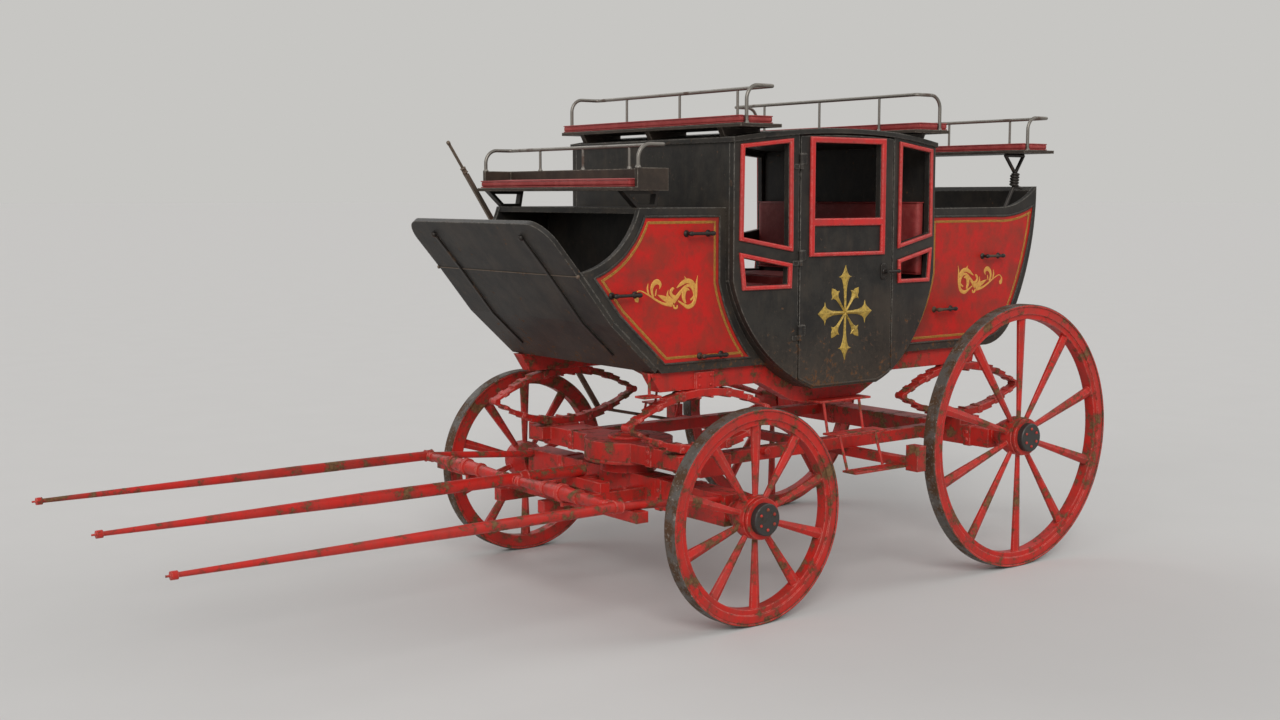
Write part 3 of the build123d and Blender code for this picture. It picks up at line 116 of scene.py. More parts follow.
def paint_layers(node, place, fresh, faded, dirt, bare, under, rubbed, bare_from, flake_mm, rough, grime=0.4,
                 smudge=0.3, edge_mm=7.0, edge_share=0.75, splash=None, upright=0.25):
    """Colour, roughness and relief of brush-painted wood after long road use.

    The paint fades in hand-wide clouds, flakes off in patches down to dull brown undercoat, is rubbed
    pale along its edges, a pale edge that is also a painted highlight, and holds road dirt in streaks,
    drawn out upward where upright is small; splash gives the heights between which mud thrown up from
    the road thickens towards the ground.
    """
    cloud = node("TexNoise", place, per_metre(130), 8.0, 0.7)
    fade = node("MapRange", cloud, 0.42, 0.6)
    tall = node("Mapping", Vector=place, Scale=(1.0, 1.0, upright))
    streak = node("TexNoise", tall, per_metre(45), 6.0, 0.68)
    streaked = node("MapRange", streak, 0.5, 0.74, 0.0, grime)
    haze = node("TexNoise", place, per_metre(240), 4.0, 0.55)
    hazed = node("MapRange", haze, 0.5, 0.72, 0.0, smudge)

    # Edges are found where a rounded normal leaves the flat one.
    flat = node("NewGeometry").outputs["Normal"]
    eased = node("Bevel", edge_mm / 1000, samples=4)
    same = node("VectorMath", flat, eased, operation="DOT_PRODUCT")
    grit = node("TexNoise", place, per_metre(14), 6.0, 0.7)
    thin = node("MapRange", grit, 0.36, 0.6, 0.0, edge_share)
    edge = node("MapRange", same, 0.985, 0.88)
    # Pale edges: paint rubbed through, and a painted highlight along every edge
    rub_and_highlight = node("Math", edge, thin, operation="MULTIPLY")
    layers = [(fade, faded), (streaked, dirt), (hazed, dirt), (rub_and_highlight, rubbed)]

    # Flakes gather in groups, and start sooner at an edge and near the road.
    flake = node("TexNoise", place, per_metre(flake_mm), 9.0, 0.74)
    group = node("TexNoise", place, per_metre(flake_mm * 3.5), 2.0)
    level = node("Math", group, 0.35, flake, operation="MULTIPLY_ADD")
    level = node("Math", edge, 0.035, level, operation="MULTIPLY_ADD")
    if splash:
        height = node("SeparateXYZ", place).outputs["Z"]
        mud = node("MapRange", height, splash[1], splash[0], 0.0, 0.13)
        level = node("Math", level, mud, operation="ADD")
        crust = node("Math", mud, grit, operation="MULTIPLY")
        layers.append((node("MapRange", crust, 0.015, 0.075, 0.0, 0.8), dirt))
    start = bare_from + 0.175
    layers.append((node("MapRange", level, start - 0.035, start, 0.0, 0.55), dirt))
    patch = node("MapRange", level, start, start + 0.045, 0.0, 0.9)
    wood = node("MapRange", grit, 0.38, 0.62)
    brown = node("Mix", wood, linear(under), linear(bare), data_type="RGBA")
    colour = linear(fresh)
    for share, tint in layers:
        colour = node("Mix", share, colour, linear(tint), data_type="RGBA")
    colour = node("Mix", patch, colour, brown, data_type="RGBA")

    dull = node("MapRange", patch, 0.0, 1.0, rough, 0.88)
    # Brush marks, drawn 4 mm apart so that they show, with the flakes' own depth and rough floor
    brush = node("TexNoise", tall, per_metre(4), 3.0)
    floor_of = node("Math", grit, -1.3, operation="MULTIPLY")
    pitted = node("Math", patch, floor_of, operation="MULTIPLY")
    relief = node("Math", brush, 0.25, pitted, operation="MULTIPLY_ADD")
    bump = node("Bump", Height=relief, Strength=0.55, Distance=0.0035, Normal=eased)
    return colour, dull, bump


def old_paint(node, place, gloss=0.35, **look):
    """Brush-painted timber: an even colour that long use has faded, flaked and rubbed, with a painted
    highlight along its edges.
    """
    colour, dull, relief = paint_layers(node, place, **look)
    return dict(Base_Color=colour, Roughness=dull, Normal=relief, IOR=1.5, Specular_IOR_Level=gloss)


def shod_rim(node, place, iron, rust, scraped, gloss=0.3, **look):
    """Forged tyre: its sides painted with the wheel, its tread bare, pitted iron gone to rust and grey.

    Pits about 16 mm across show the hammering and the road; they are a little coarser than real ones
    so that they read at the size of the whole coach.
    """
    colour, dull, relief = paint_layers(node, place, **look)
    facing = node("TexCoord").outputs["Normal"]
    sideways = node("SeparateXYZ", facing).outputs["Y"]
    outward = node("Math", sideways, operation="ABSOLUTE")
    pits = node("TexNoise", place, per_metre(16), 8.0, 0.68)
    ragged = node("Math", pits, 0.5, outward, operation="MULTIPLY_ADD")
    tread = node("MapRange", ragged, 1.2, 1.1)
    area = node("TexNoise", place, per_metre(90), 5.0, 0.6)
    both = node("Math", pits, 0.6, area, operation="MULTIPLY_ADD")
    rusted = node("MapRange", both, 0.74, 0.86)
    metal = node("Mix", rusted, linear(iron), linear(rust), data_type="RGBA")
    high = node("MapRange", pits, 0.56, 0.66, 0.0, 0.8)
    metal = node("Mix", high, metal, linear(scraped), data_type="RGBA")
    colour = node("Mix", tread, colour, metal, data_type="RGBA")
    rougher = node("MapRange", rusted, 0.0, 1.0, 0.5, 0.85)
    mixed = node("Mix", tread, dull, rougher)
    dents = node("Math", pits, tread, operation="MULTIPLY")
    bump = node("Bump", Height=dents, Strength=0.8, Distance=0.007, Normal=relief)
    return dict(Base_Color=colour, Roughness=mixed, Normal=bump, Specular_IOR_Level=gloss)


def forged_iron(node, place, clean, rust, rough=0.5, rusting=0.4, pits_mm=7.0):
    """Hammered iron: dull grey metal with eased edges, rust in pits drawn coarse enough to show."""
    pits = node("TexNoise", place, per_metre(pits_mm), 8.0, 0.7)
    area = node("TexNoise", place, per_metre(90), 4.0)
    both = node("Math", pits, 0.5, area, operation="MULTIPLY_ADD")
    rusted = node("MapRange", both, 0.92 - 0.3 * rusting, 1.0 - 0.2 * rusting)
    colour = node("Mix", rusted, linear(clean), linear(rust), data_type="RGBA")
    metal = node("MapRange", rusted, 0.0, 1.0, 0.75, 0.1)
    dull = node("MapRange", rusted, 0.0, 1.0, rough, min(rough + 0.3, 0.95))
    eased = node("Bevel", 0.002, samples=4)
    bump = node("Bump", Height=pits, Strength=0.4, Distance=0.0010, Normal=eased)
    return dict(Base_Color=colour, Metallic=metal, Roughness=dull, Normal=bump)


def gold_leaf(node, place, leaf, shade):
    """Old gold size paint: warm ochre, darker where it has thinned over the ground."""
    thin = node("TexNoise", place, per_metre(12), 7.0, 0.7)
    amount = node("MapRange", thin, 0.42, 0.7)
    colour = node("Mix", amount, linear(leaf), linear(shade), data_type="RGBA")
    bump = node("Bump", Height=thin, Strength=0.2, Distance=0.0006)
    return dict(Base_Color=colour, Metallic=0.25, Roughness=0.48, Normal=bump)


def pebbled_hide(node, place, hide, crease_shade, rubbed):
    """Upholstery hide: pebbled, with painted shade in its creases, rubbed paler in clouds.

    The pebbles are about 3 mm across on real hide, and drawn at 5 mm so that they show.
    """
    grain = node("TexVoronoi", place, per_metre(5), feature="DISTANCE_TO_EDGE")
    # Painted shade darkens the creases between the pebbles
    crease_shade_share = node("MapRange", grain, 0.0, 0.12, 0.55, 0.0)
    cloud = node("TexNoise", place, per_metre(60), 6.0, 0.65)
    light = node("MapRange", cloud, 0.45, 0.72)
    colour = node("Mix", light, linear(hide), linear(rubbed), data_type="RGBA")
    colour = node("Mix", crease_shade_share, colour, linear(crease_shade), data_type="RGBA")
    bump = node("Bump", Height=grain, Strength=0.45, Distance=0.0014)
    return dict(Base_Color=colour, Roughness=0.62, IOR=1.48, Normal=bump)


# Black coach enamel: near black with a grey bloom, rust-brown flecks, edges rubbed to grey wood,
# the grey edges also a painted highlight
BLACK = new_finish(
    "black_coach_enamel", old_paint, fresh="#252321", faded="#322f2b", dirt="#4a4036", bare="#7a5234",
    under="#4f3a29", rubbed="#9a948a", bare_from=0.655, flake_mm=26.0, rough=0.5, grime=0.34, smudge=0.46,
    edge_mm=8.0, splash=(0.92, 1.3), gloss=0.22,
)
# Red panel enamel: rich red that has clouded darker and browner in broad soft areas, its faint pale
# edges partly a painted highlight
RED_PANEL = new_finish(
    "red_panel_enamel", old_paint, fresh="#c21b14", faded="#a02a1c", dirt="#6a3026", bare="#7c4a2c",
    under="#6a3220", rubbed="#c0503c", bare_from=0.72, flake_mm=95.0, rough=0.42, grime=0.55, smudge=0.7,
    edge_mm=5.0, edge_share=0.2, upright=0.8, gloss=0.3,
)
# Running-gear paint: the same red, flaked to brown undercoat where stones and hands reach it, with
# pale pink edges, rubbed and also a painted highlight
GEAR_LOOK = dict(
    fresh="#c4261e", faded="#ad332a", dirt="#6e2f24", bare="#7e6440", under="#523f28", rubbed="#e39384",
    bare_from=0.557, flake_mm=66.0, rough=0.46, grime=0.5, smudge=0.45, edge_share=0.7,
)
RED_GEAR = new_finish("red_gear_paint", old_paint, gloss=0.3, **GEAR_LOOK)
# Window frames: fresher red with pinkish arrises, rubbed and also a painted highlight
RED_FRAME = new_finish(
    "red_frame_paint", old_paint, fresh="#cb2725", faded="#b43432", dirt="#7d2624", bare="#8a5040",
    under="#6e2a24", rubbed="#ec9a8e", bare_from=0.69, flake_mm=40.0, rough=0.42,
)
# Stained seat and bench boards: dark brown, scuffed to grey wood on their rims, the pale rims also
# a painted highlight
DARK_BOARD = new_finish(
    "dark_bench_board", old_paint, fresh="#332b25", faded="#43382f", dirt="#241d18", bare="#6a4c34",
    under="#45342a", rubbed="#a3998a", bare_from=0.66, flake_mm=45.0, rough=0.55, edge_share=0.8, gloss=0.25,
)
# Rail iron: forged bar that hands keep grey and half bright
IRON = new_finish("forged_rail_iron", forged_iron, "#7f7a73", "#55443a", rough=0.42, rusting=0.32)
# Lever iron: forged bar gone brown and dull with old oil and rust
BROWN_IRON = new_finish("browned_lever_iron", forged_iron, "#75685b", "#5e4838", rough=0.52, rusting=0.35,
                        pits_mm=12.0)
# Handle iron: blackened at the forge, brown where the black has gone
DARK_IRON = new_finish("blackened_handle_iron", forged_iron, "#383431", "#54402f", rough=0.46, rusting=0.3,
                       pits_mm=6.0)
# Tyre iron: dark tread with rust and scraped high spots, between sides in the wheel's paint
TYRE_IRON = new_finish("rusty_tyre_iron", shod_rim, "#5b5650", "#513926", "#918c84", **GEAR_LOOK)
# Hub iron: dark caps, dull with axle grease
HUB_IRON = new_finish("greased_hub_iron", forged_iron, "#4a4846", "#33291f", rough=0.5, rusting=0.3)
# Gold size on the boots: flat warm ochre; on the doors: carved leaf, greener and dark in its hollows
GOLD = new_finish("old_gold_leaf", gold_leaf, "#e2a94e", "#c3853e")
CROSS_GOLD = new_finish("carved_gold_leaf", gold_leaf, "#bf9f47", "#6f5a25")
# Seat hide: dull red leather with painted shade in its creases and rubbed paler clouds
HIDE = new_finish("red_seat_hide", pebbled_hide, "#9b3230", "#4f1715", "#b04d47")

FINISHES = {
    "black_painted_wood": BLACK,
    "red_painted_wood": RED_GEAR,
    "red_frame_paint": RED_FRAME,
    "dark_wood": DARK_BOARD,
    "red_leather": HIDE,
    "worn_iron": IRON,
    "tyre_iron": TYRE_IRON,
    "black_hub_iron": HUB_IRON,
}
# Nodes that look different from the rest of their slot
OWN_FINISHES = {
    "boot_panels": RED_PANEL,
    "door_hinge_pins": BLACK,
    "brake_lever": BROWN_IRON,
    **dict.fromkeys(("grab_handles", "door_handle_left", "door_handle_right", "seat_brackets"), DARK_IRON),
    **dict.fromkeys(("driver_seat", "front_roof_seat", "rear_roof_seat", "hind_seat"), DARK_BOARD),
}


def dress(obj, finish):
    """Gives an object one finish in place of what it had."""
    obj.data.materials.clear()
    obj.data.materials.append(finish)


for part in frame["record"]["subparts"]:
    slot_finish = FINISHES[part["material_slot"]]
    dress(frame["nodes"][part["node"]], OWN_FINISHES.get(part["node"], slot_finish))


# Pieces

def set_up(name, data):
    """New object in the scene."""
    obj = bpy.data.objects.new(name, data)
    bpy.context.scene.collection.objects.link(obj)
    return obj


def piece(name, mesh, finish, body="coach", smooth=False):
    """A new piece from a mesh: its finish and the body that carries it."""
    obj = set_up(name, mesh)
    dress(obj, finish)
    for face in mesh.polygons:
        face.use_smooth = smooth
    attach(obj, body)
    return obj


def mesh_of(name, build):
    """Mesh filled by a function that draws into a bmesh, with its normals turned outward."""
    bm = bmesh.new()
    build(bm)
    bmesh.ops.recalc_face_normals(bm, faces=bm.faces)
    mesh = bpy.data.meshes.new(name)
    bm.to_mesh(mesh)
    bm.free()
    return mesh


def drawn(name, build, finish, body="coach", smooth=False):
    """A new piece from a function that draws into a bmesh."""
    piece(name, mesh_of(name, build), finish, body, smooth)


def weld(bm):
    """Joins the points of a bmesh that lie within a hundredth of a millimetre."""
    bmesh.ops.remove_doubles(bm, verts=bm.verts, dist=1e-5)


def node_bmesh(node_name):
    """Welded bmesh of a node's solids."""
    bm = bmesh.new()
    bm.from_mesh(frame["nodes"][node_name].data)
    weld(bm)
    return bm


def following(rows, closed):
    """Each row with the next one, and the last with the first where the run is closed."""
    return list(zip(rows, rows[1:] + rows[:1] if closed else rows[1:]))


def neighbours(run, i, closed=False):
    """Points before and after one point of a run; an open end is its own neighbour."""
    if closed:
        return run[i - 1], run[(i + 1) % len(run)]
    return run[max(i - 1, 0)], run[min(i + 1, len(run) - 1)]


def ring(centre, across, other, radius, count):
    """Points evenly round a circle in the plane of two directions."""
    turns = [2 * math.pi * k / count for k in range(count)]
    return [centre + (across * math.cos(a) + other * math.sin(a)) * radius for a in turns]


def skin(bm, rows, closed=False, rings=False):
    """Faces between neighbouring rows of points, which may be rings; a ring of one point is a tip."""
    made = [[bm.verts.new(p) for p in row] for row in rows]
    for a, b in following(made, closed):
        for k in range(max(len(a), len(b)) - (not rings)):
            n = k + 1
            corners = (a[k % len(a)], a[n % len(a)], b[n % len(b)], b[k % len(b)])
            bm.faces.new(list(dict.fromkeys(corners)))
    return made


def smooth_run(knots, steps=6):
    """Points of a curve that passes through knots of any length, by even Catmull-Rom spans."""
    ends = [knots[0]] + list(knots) + [knots[-1]]
    run = []
    for a, b, c, d in zip(ends, ends[1:], ends[2:], ends[3:]):
        for i in range(steps):
            t = i / steps
            run.append(tuple(
                0.5 * (2 * q + (r - p) * t + (2 * p - 5 * q + 4 * r - s) * t * t
                       + (3 * q - p - 3 * r + s) * t ** 3)
                for p, q, r, s in zip(a, b, c, d)
            ))
    run.append(tuple(knots[-1]))
    return run


# A painted line's section: share of its half width and of its height, from one edge to the other
LINE_SECTION = ((1.0, 0.0), (0.8, 1.0), (0.0, 1.25), (-0.8, 1.0), (-1.0, 0.0))


def ribbon(bm, run, to_world, height, closed=False):
    """Raised painted line along (u, v, width) points, crowned in its middle."""
    rows = []
    for i, (u, v, width) in enumerate(run):
        before, after = neighbours(run, i, closed)
        du, dv = after[0] - before[0], after[1] - before[1]
        length = math.hypot(du, dv) or 1.0
        nu, nv = -dv / length * width / 2, du / length * width / 2
        rows.append([to_world(u + nu * w, v + nv * w, height * h) for w, h in LINE_SECTION])
    skin(bm, rows, closed)


def tube(bm, path, radius, sides=10, closed=False):
    """Round bar along a run of points."""
    rows = []
    across = None
    for i, here in enumerate(path):
        before, after = neighbours(path, i, closed)
        along = (after - before).normalized()
        if across is None:
            across = along.orthogonal().normalized()
        across = (across - along * across.dot(along)).normalized()
        rows.append(ring(here, across, along.cross(across), radius, sides))
    made = skin(bm, rows, closed, rings=True)
    if not closed:
        bm.faces.new(made[0])
        bm.faces.new(list(reversed(made[-1])))


def turned(bm, base, along, profile, sides=16):
    """Round piece about an axis, from (distance, radius) points; ends with no radius are closed."""
    along = along.normalized()
    across = along.orthogonal().normalized()
    other = along.cross(across)
    rows = []
    for distance, radius in profile:
        centre = base + along * (distance / 1000)
        rows.append(ring(centre, across, other, radius / 1000, sides) if radius > 0 else [centre])
    skin(bm, rows, rings=True)


# A domed bolt head, as distance off its seat and radius, for a head of radius 1
BOLT_HEAD = ((-0.2, 1.0), (0.25, 1.0), (0.55, 0.85), (0.8, 0.5), (0.9, 0.0))


def bolt(bm, place, outward, radius, sides=12):
    """One domed head of a radius in millimetres."""
    turned(bm, place, outward, [(d * radius, r * radius) for d, r in BOLT_HEAD], sides)


def bolts(name, places, radius, finish, body="coach"):
    """Domed heads at (place, outward direction) pairs, as one piece."""
    def build(bm):
        for place, outward in places:
            bolt(bm, place, outward, radius)
    drawn(name, build, finish, body, smooth=True)


# Gold ornament on the boots: strokes of (away from the cabin, up, width), all in millimetres
SCROLL = (
    ((141, 24, 22), (180, 26, 12), (221, 43, 9), (262, 66, 7), (300, 84, 5),
     (318, 85, 5), (330, 74, 7), (331, 60, 16), (324, 48, 22), (319, 40, 4)),
    ((262, 66, 5), (270, 91, 9), (267, 115, 2)),
    ((239, 52, 8), (248, 86, 13), (240, 110, 19), (220, 121, 22), (203, 109, 15), (207, 90, 2)),
    ((229, 62, 5), (226, 76, 7), (223, 90, 3)),
    ((133, 32, 28), (162, 42, 25), (195, 56, 15), (218, 66, 1)),
    ((144, 41, 18), (164, 60, 12), (161, 84, 1)),
    ((118, 50, 16), (140, 60, 14), (147, 76, 14), (137, 89, 12), (130, 88, 4)),
    ((136, 34, 26), (112, 55, 19), (91, 77, 13), (66, 97, 11),
     (39, 96, 14), (22, 75, 15), (22, 52, 11), (42, 37, 8)),
    ((116, 91, 4), (86, 110, 17), (60, 119, 20), (33, 111, 21), (14, 90, 15)),
    ((52, 116, 15), (66, 127, 9), (74, 140, 1)),
    ((2, 141, 1), (7, 114, 8), (9, 82, 13), (12, 52, 15),
     (25, 21, 18), (53, 9, 18), (77, 19, 12), (110, 38, 6)),
    ((68, 25, 9), (78, 50, 19), (74, 75, 21), (60, 84, 15), (46, 79, 2)),
    ((133, 22, 9), (128, 8, 9), (114, 8, 9), (113, 19, 6)),
)
# Where the scroll's cabin end lies on each boot: x, z, way along X
SCROLL_PLACES = (("front", 42.6, 1308.0, 1), ("hind", -1606.0, 1303.0, -1))
# Thickness of the first stroke, and what each next one gains to stay clear of those it crosses
STROKE, STROKE_GAIN = 0.8, 0.06


def scroll(name, x0, z0, way, side):
    """Scroll of painted strokes on one boot panel."""
    def to_world(u, v, height):
        return point(x0 + way * u, side * (BOOT_FACE + height), z0 + v)

    def build(bm):
        for i, stroke in enumerate(SCROLL):
            ribbon(bm, smooth_run(stroke), to_world, STROKE + STROKE_GAIN * i)
    drawn(name, build, GOLD)


for place, x0, z0, way in SCROLL_PLACES:
    for side, word in SIDES:
        scroll(f"{place}_scroll_{word}", x0, z0, way, side)


def face_loops(node_name, side):
    """Edge of each face that a node turns to one side, as runs of (x, z) in metres."""
    bm = node_bmesh(node_name)
    chosen = {f for f in bm.faces if f.normal.y * side > 0.9}
    nearby = {}
    for e in bm.edges:
        if sum(f in chosen for f in e.link_faces) == 1:
            for v in e.verts:
                nearby.setdefault(v, []).append(e.other_vert(v))
    loops, seen = [], set()
    for start in nearby:
        if start in seen:
            continue
        loop, here, last = [], start, None
        while here not in seen:
            seen.add(here)
            loop.append((here.co.x, here.co.z))
            ahead = [v for v in nearby[here] if v is not last]
            last, here = here, ahead[0]
        loops.append(loop)
    bm.free()
    return loops


def inset(loop, distance):
    """Closed run of points moved inward, mitred at its corners, the sharpest ones less."""
    sharpest = 0.35
    area = sum(a[0] * b[1] - b[0] * a[1] for a, b in following(loop, True))
    way = 1 if area > 0 else -1
    moved = []
    for i in range(len(loop)):
        p, q, r = (Vector(loop[(i + k) % len(loop)]) for k in (-1, 0, 1))
        a, b = (q - p).normalized(), (r - q).normalized()
        na, nb = Vector((-a.y, a.x)) * way, Vector((-b.y, b.x)) * way
        share = max(1 + na.dot(nb), sharpest)
        moved.append(q + (na + nb) * (distance / share))
    return [(v.x, v.y) for v in moved]


def spread(loop, gap=0.02):
    """Closed run with long sides divided, so that a line along it keeps its corners."""
    run = []
    for a, b in following(loop, True):
        steps = max(1, round(math.dist(a, b) / gap))
        for i in range(steps):
            t = i / steps
            run.append((a[0] + (b[0] - a[0]) * t, a[1] + (b[1] - a[1]) * t))
    return run


# Coach lines and beads of the boots and doors, in metres
LINE_WIDTH, LINE_INSET, LINE_HEIGHT = 0.0115, 0.026, 0.0008
BEAD_R = 0.0055
BOOT_BEAD_INSET, BOOT_BEAD_PROUD = 0.001, 0.002


def boot_lines(side, word):
    """Gold coach line inside each red panel, and the black bead round its edge."""
    face_y = side * BOOT_FACE / 1000
    loops = face_loops("boot_panels", side)

    def line(bm):
        for loop in loops:
            run = [(x, z, LINE_WIDTH) for x, z in spread(inset(loop, LINE_INSET))]
            ribbon(bm, run, lambda u, v, h: Vector((u, face_y + side * h, v)), LINE_HEIGHT, closed=True)

    def bead(bm):
        for loop in loops:
            run = spread(inset(loop, BOOT_BEAD_INSET), 0.04)
            path = [Vector((x, face_y + side * BOOT_BEAD_PROUD, z)) for x, z in run]
            tube(bm, path, BEAD_R, sides=8, closed=True)
    drawn(f"boot_gold_lines_{word}", line, GOLD)
    drawn(f"boot_beads_{word}", bead, BLACK, smooth=True)


for side, word in SIDES:
    boot_lines(side, word)

# Eight-armed cross on each door: arms as (along, half width) outlines in millimetres
LONG_ARM = ((0, 5), (60, 7), (100, 9), (130, 15), (148, 21), (157, 28), (161, 42), (165, 29), (171, 20),
            (186, 11), (214, 0))
CROSS_ARM = ((0, 7), (45, 8), (83, 12), (108, 20), (119, 30), (126, 54), (130, 34), (141, 23), (170, 0))
SLANT_ARM = ((0, 4), (50, 6), (80, 10), (94, 18), (100, 33), (108, 19), (122, 15), (140, 0))
CROSS_PLACE = (-734.0, 1261.0)
# Lean of the slanting arms, from where their ends lie beside and over the middle
SLANT = math.degrees(math.atan2(84, 111))
# An arm's ridge: its height at the tip and its gain over the last stretch; then its chamfered edge, as
# a share of the half width and a height
TIP_RIDGE, RIDGE_GAIN, RIDGE_STRETCH = 3.0, 4.5, 40
CHAMFER, CHAMFER_HEIGHT = 0.9, 1.4


def door_cross(side, word):
    """Carved cross on one door."""
    x0, z0 = CROSS_PLACE
    arms = [(0, LONG_ARM), (180, LONG_ARM), (90, CROSS_ARM), (270, CROSS_ARM)]
    arms += [(a, SLANT_ARM) for a in (SLANT, -SLANT, 180 - SLANT, 180 + SLANT)]

    def build(bm):
        for angle, arm in arms:
            dx, dz = math.sin(math.radians(angle)), math.cos(math.radians(angle))
            tip = arm[-1][0]
            rows = []
            for t, w in arm:
                ridge = TIP_RIDGE + RIDGE_GAIN * min(1.0, (tip - t) / RIDGE_STRETCH)
                edge = w * CHAMFER
                section = ((w, 0), (edge, CHAMFER_HEIGHT), (0, ridge), (-edge, CHAMFER_HEIGHT), (-w, 0))
                rows.append([
                    point(x0 + t * dx + off * dz, side * (DOOR_FACE + height), z0 + t * dz - off * dx)
                    for off, height in section
                ])
            skin(bm, rows)
        weld(bm)
    drawn(f"door_cross_{word}", build, CROSS_GOLD, f"{word}_door")


for side, word in SIDES:
    door_cross(side, word)

# Bead along each door's curved foot: its height over the edge, how far the foot rises to its ends,
# and how far the bead's middle stands off the door
BEAD_ABOVE_FOOT, FOOT_RISE, FOOT_BEAD_PROUD = 0.012, 0.09, 0.001


def door_foot(side, word):
    """Bead over one door's foot, along the lowest stretch of its edge."""
    loops = face_loops(f"door_{word}", side)
    lowest, loop = min((min(z for x, z in run), run) for run in loops)
    foot = sorted(p for p in loop if p[1] < lowest + FOOT_RISE)
    y = side * (DOOR_FACE / 1000 + FOOT_BEAD_PROUD)
    path = [Vector((x, y, z + BEAD_ABOVE_FOOT)) for x, z in foot]
    drawn(f"door_foot_bead_{word}", lambda bm: tube(bm, path, BEAD_R), BLACK,
          f"{word}_door", smooth=True)


for side, word in SIDES:
    door_foot(side, word)


def node_boxes(node_name):
    """Boxes of the separate solids of one node, as (low, high) pairs."""
    bm = node_bmesh(node_name)
    boxes, seen = [], set()
    for start in bm.verts:
        if start in seen:
            continue
        group, todo = [], [start]
        seen.add(start)
        while todo:
            v = todo.pop()
            group.append(v.co.copy())
            fresh = {e.other_vert(v) for e in v.link_edges} - seen
            seen |= fresh
            todo += fresh
        low = Vector([min(c[i] for c in group) for i in range(3)])
        high = Vector([max(c[i] for c in group) for i in range(3)])
        boxes.append((low, high))
    bm.free()
    return boxes


def iron_block(bm, middle, along, up, size, ease=2.5):
    """Forged block with eased edges, its length, width and depth (mm) set by two directions."""
    along, up = along.normalized(), up.normalized()
    aside = along.cross(up)
    turn = Matrix((along, aside, up)).transposed().to_4x4()
    grow = Matrix.Diagonal((size[0] / 1000, size[1] / 1000, size[2] / 1000, 1.0))
    made = bmesh.ops.create_cube(bm, size=1.0, matrix=Matrix.Translation(middle) @ turn @ grow)
    edges = {e for v in made["verts"] for e in v.link_edges}
    bmesh.ops.bevel(bm, geom=list(edges), offset=ease / 1000, segments=2, affect="EDGES")


# Springs: the eye's radius, a leaf's thickness and the leaves at the crown
SPRING_EYE, LEAF, CROWN_LEAVES = 16.0, 11.0, 3
# Clips round the leaves, as shares of the way from crown to eye with the leaves held there
SPRING_CLIPS = ((0.3, 3), (0.6, 2), (0.86, 1))
CLIP_LENGTH, CLIP_WIDTH, CLIP_PROUD, CLIP_BOLT_R = 30, 60, 9, 6
# Two yokes across each crown: their size, distance from its middle and depth in the leaf
YOKE, YOKE_X, YOKE_SUNK = (14, 64, 10), 0.034, 0.004


def spring_clips(bm):
    """Clips with their bolts along each half of a spring, and yokes over its crowns."""
    for low, high in node_boxes("springs"):
        middle = (low + high) / 2
        half = (high.x - low.x) / 2 - SPRING_EYE / 1000
        rise = (high.z - low.z) / 2 - CROWN_LEAVES * LEAF / 1000
        radius = (half * half + rise * rise) / (2 * rise)
        for way in (1, -1):
            hub = Vector((middle.x, middle.y, middle.z + way * (rise - radius)))
            for share, leaves in SPRING_CLIPS:
                for end in (1, -1):
                    angle = end * share * math.asin(half / radius)
                    outward = Vector((math.sin(angle), 0, way * math.cos(angle)))
                    along = Vector((math.cos(angle), 0, -way * math.sin(angle)))
                    spot = hub + outward * (radius + leaves * LEAF / 2000)
                    size = (CLIP_LENGTH, CLIP_WIDTH, leaves * LEAF + CLIP_PROUD)
                    iron_block(bm, spot, along, outward, size)
                    for side in OUT:
                        bolt(bm, spot + OUT[side] * (CLIP_WIDTH / 2000), OUT[side], CLIP_BOLT_R, sides=8)
            for x in (-YOKE_X, YOKE_X):
                spot = Vector((middle.x + x, middle.y, middle.z + way * (rise - YOKE_SUNK)))
                iron_block(bm, spot, X, Z, YOKE, ease=3.0)


drawn("spring_clips", spring_clips, RED_GEAR)

# Plates that hold the springs to the sills, the node's thin solids: four bolts each, set in from the
# plate's edges
PLATE_MOST, BOLT_IN_X, BOLT_IN_Z = 0.02, 0.019, 0.016
sill_bolts = []
for low, high in node_boxes("body_sills"):
    if high.y - low.y < PLATE_MOST:
        side = 1 if low.y > 0 else -1
        face = high.y if side > 0 else low.y
        for x in (low.x + BOLT_IN_X, high.x - BOLT_IN_X):
            for z in (low.z + BOLT_IN_Z, high.z - BOLT_IN_Z):
                sill_bolts.append((Vector((x, face, z)), OUT[side]))
bolts("sill_plate_bolts", sill_bolts, 7.5, RED_GEAR)

# Iron bands round the timbers: node, body, distances off the middle line, the timber's x and z
BANDS = (
    ("transom", "coach", (300, 500), (-55, 115), (600, 684)),
    ("front_axle", "forecarriage", (300, 470), (-60, 60), (400, 535)),
    ("rear_axle", "coach", (330, 620), (-1760, -1620), (565, 657)),
)
BAND_WIDTH, BAND_THICK, BAND_BOLT_R, BAND_BOLT_Z = 44, 4.5, 8, 20


def bands(timber, body, distances, across, upright):
    """Bands round one timber, each with two bolts before and behind."""
    middle_x, middle_z = sum(across) / 2, sum(upright) / 2
    size = (across[1] - across[0] + 2 * BAND_THICK, BAND_WIDTH, upright[1] - upright[0] + 2 * BAND_THICK)

    def build(bm):
        for y in distances:
            for side in OUT:
                iron_block(bm, point(middle_x, side * y, middle_z), X, Z, size)
                for x, way in ((across[1] + BAND_THICK, X), (across[0] - BAND_THICK, -X)):
                    for dz in (-BAND_BOLT_Z, BAND_BOLT_Z):
                        bolt(bm, point(x, side * y, middle_z + dz), way, BAND_BOLT_R, sides=10)
    drawn(f"{timber}_bands", build, RED_GEAR, body)


for band in BANDS:
    bands(*band)

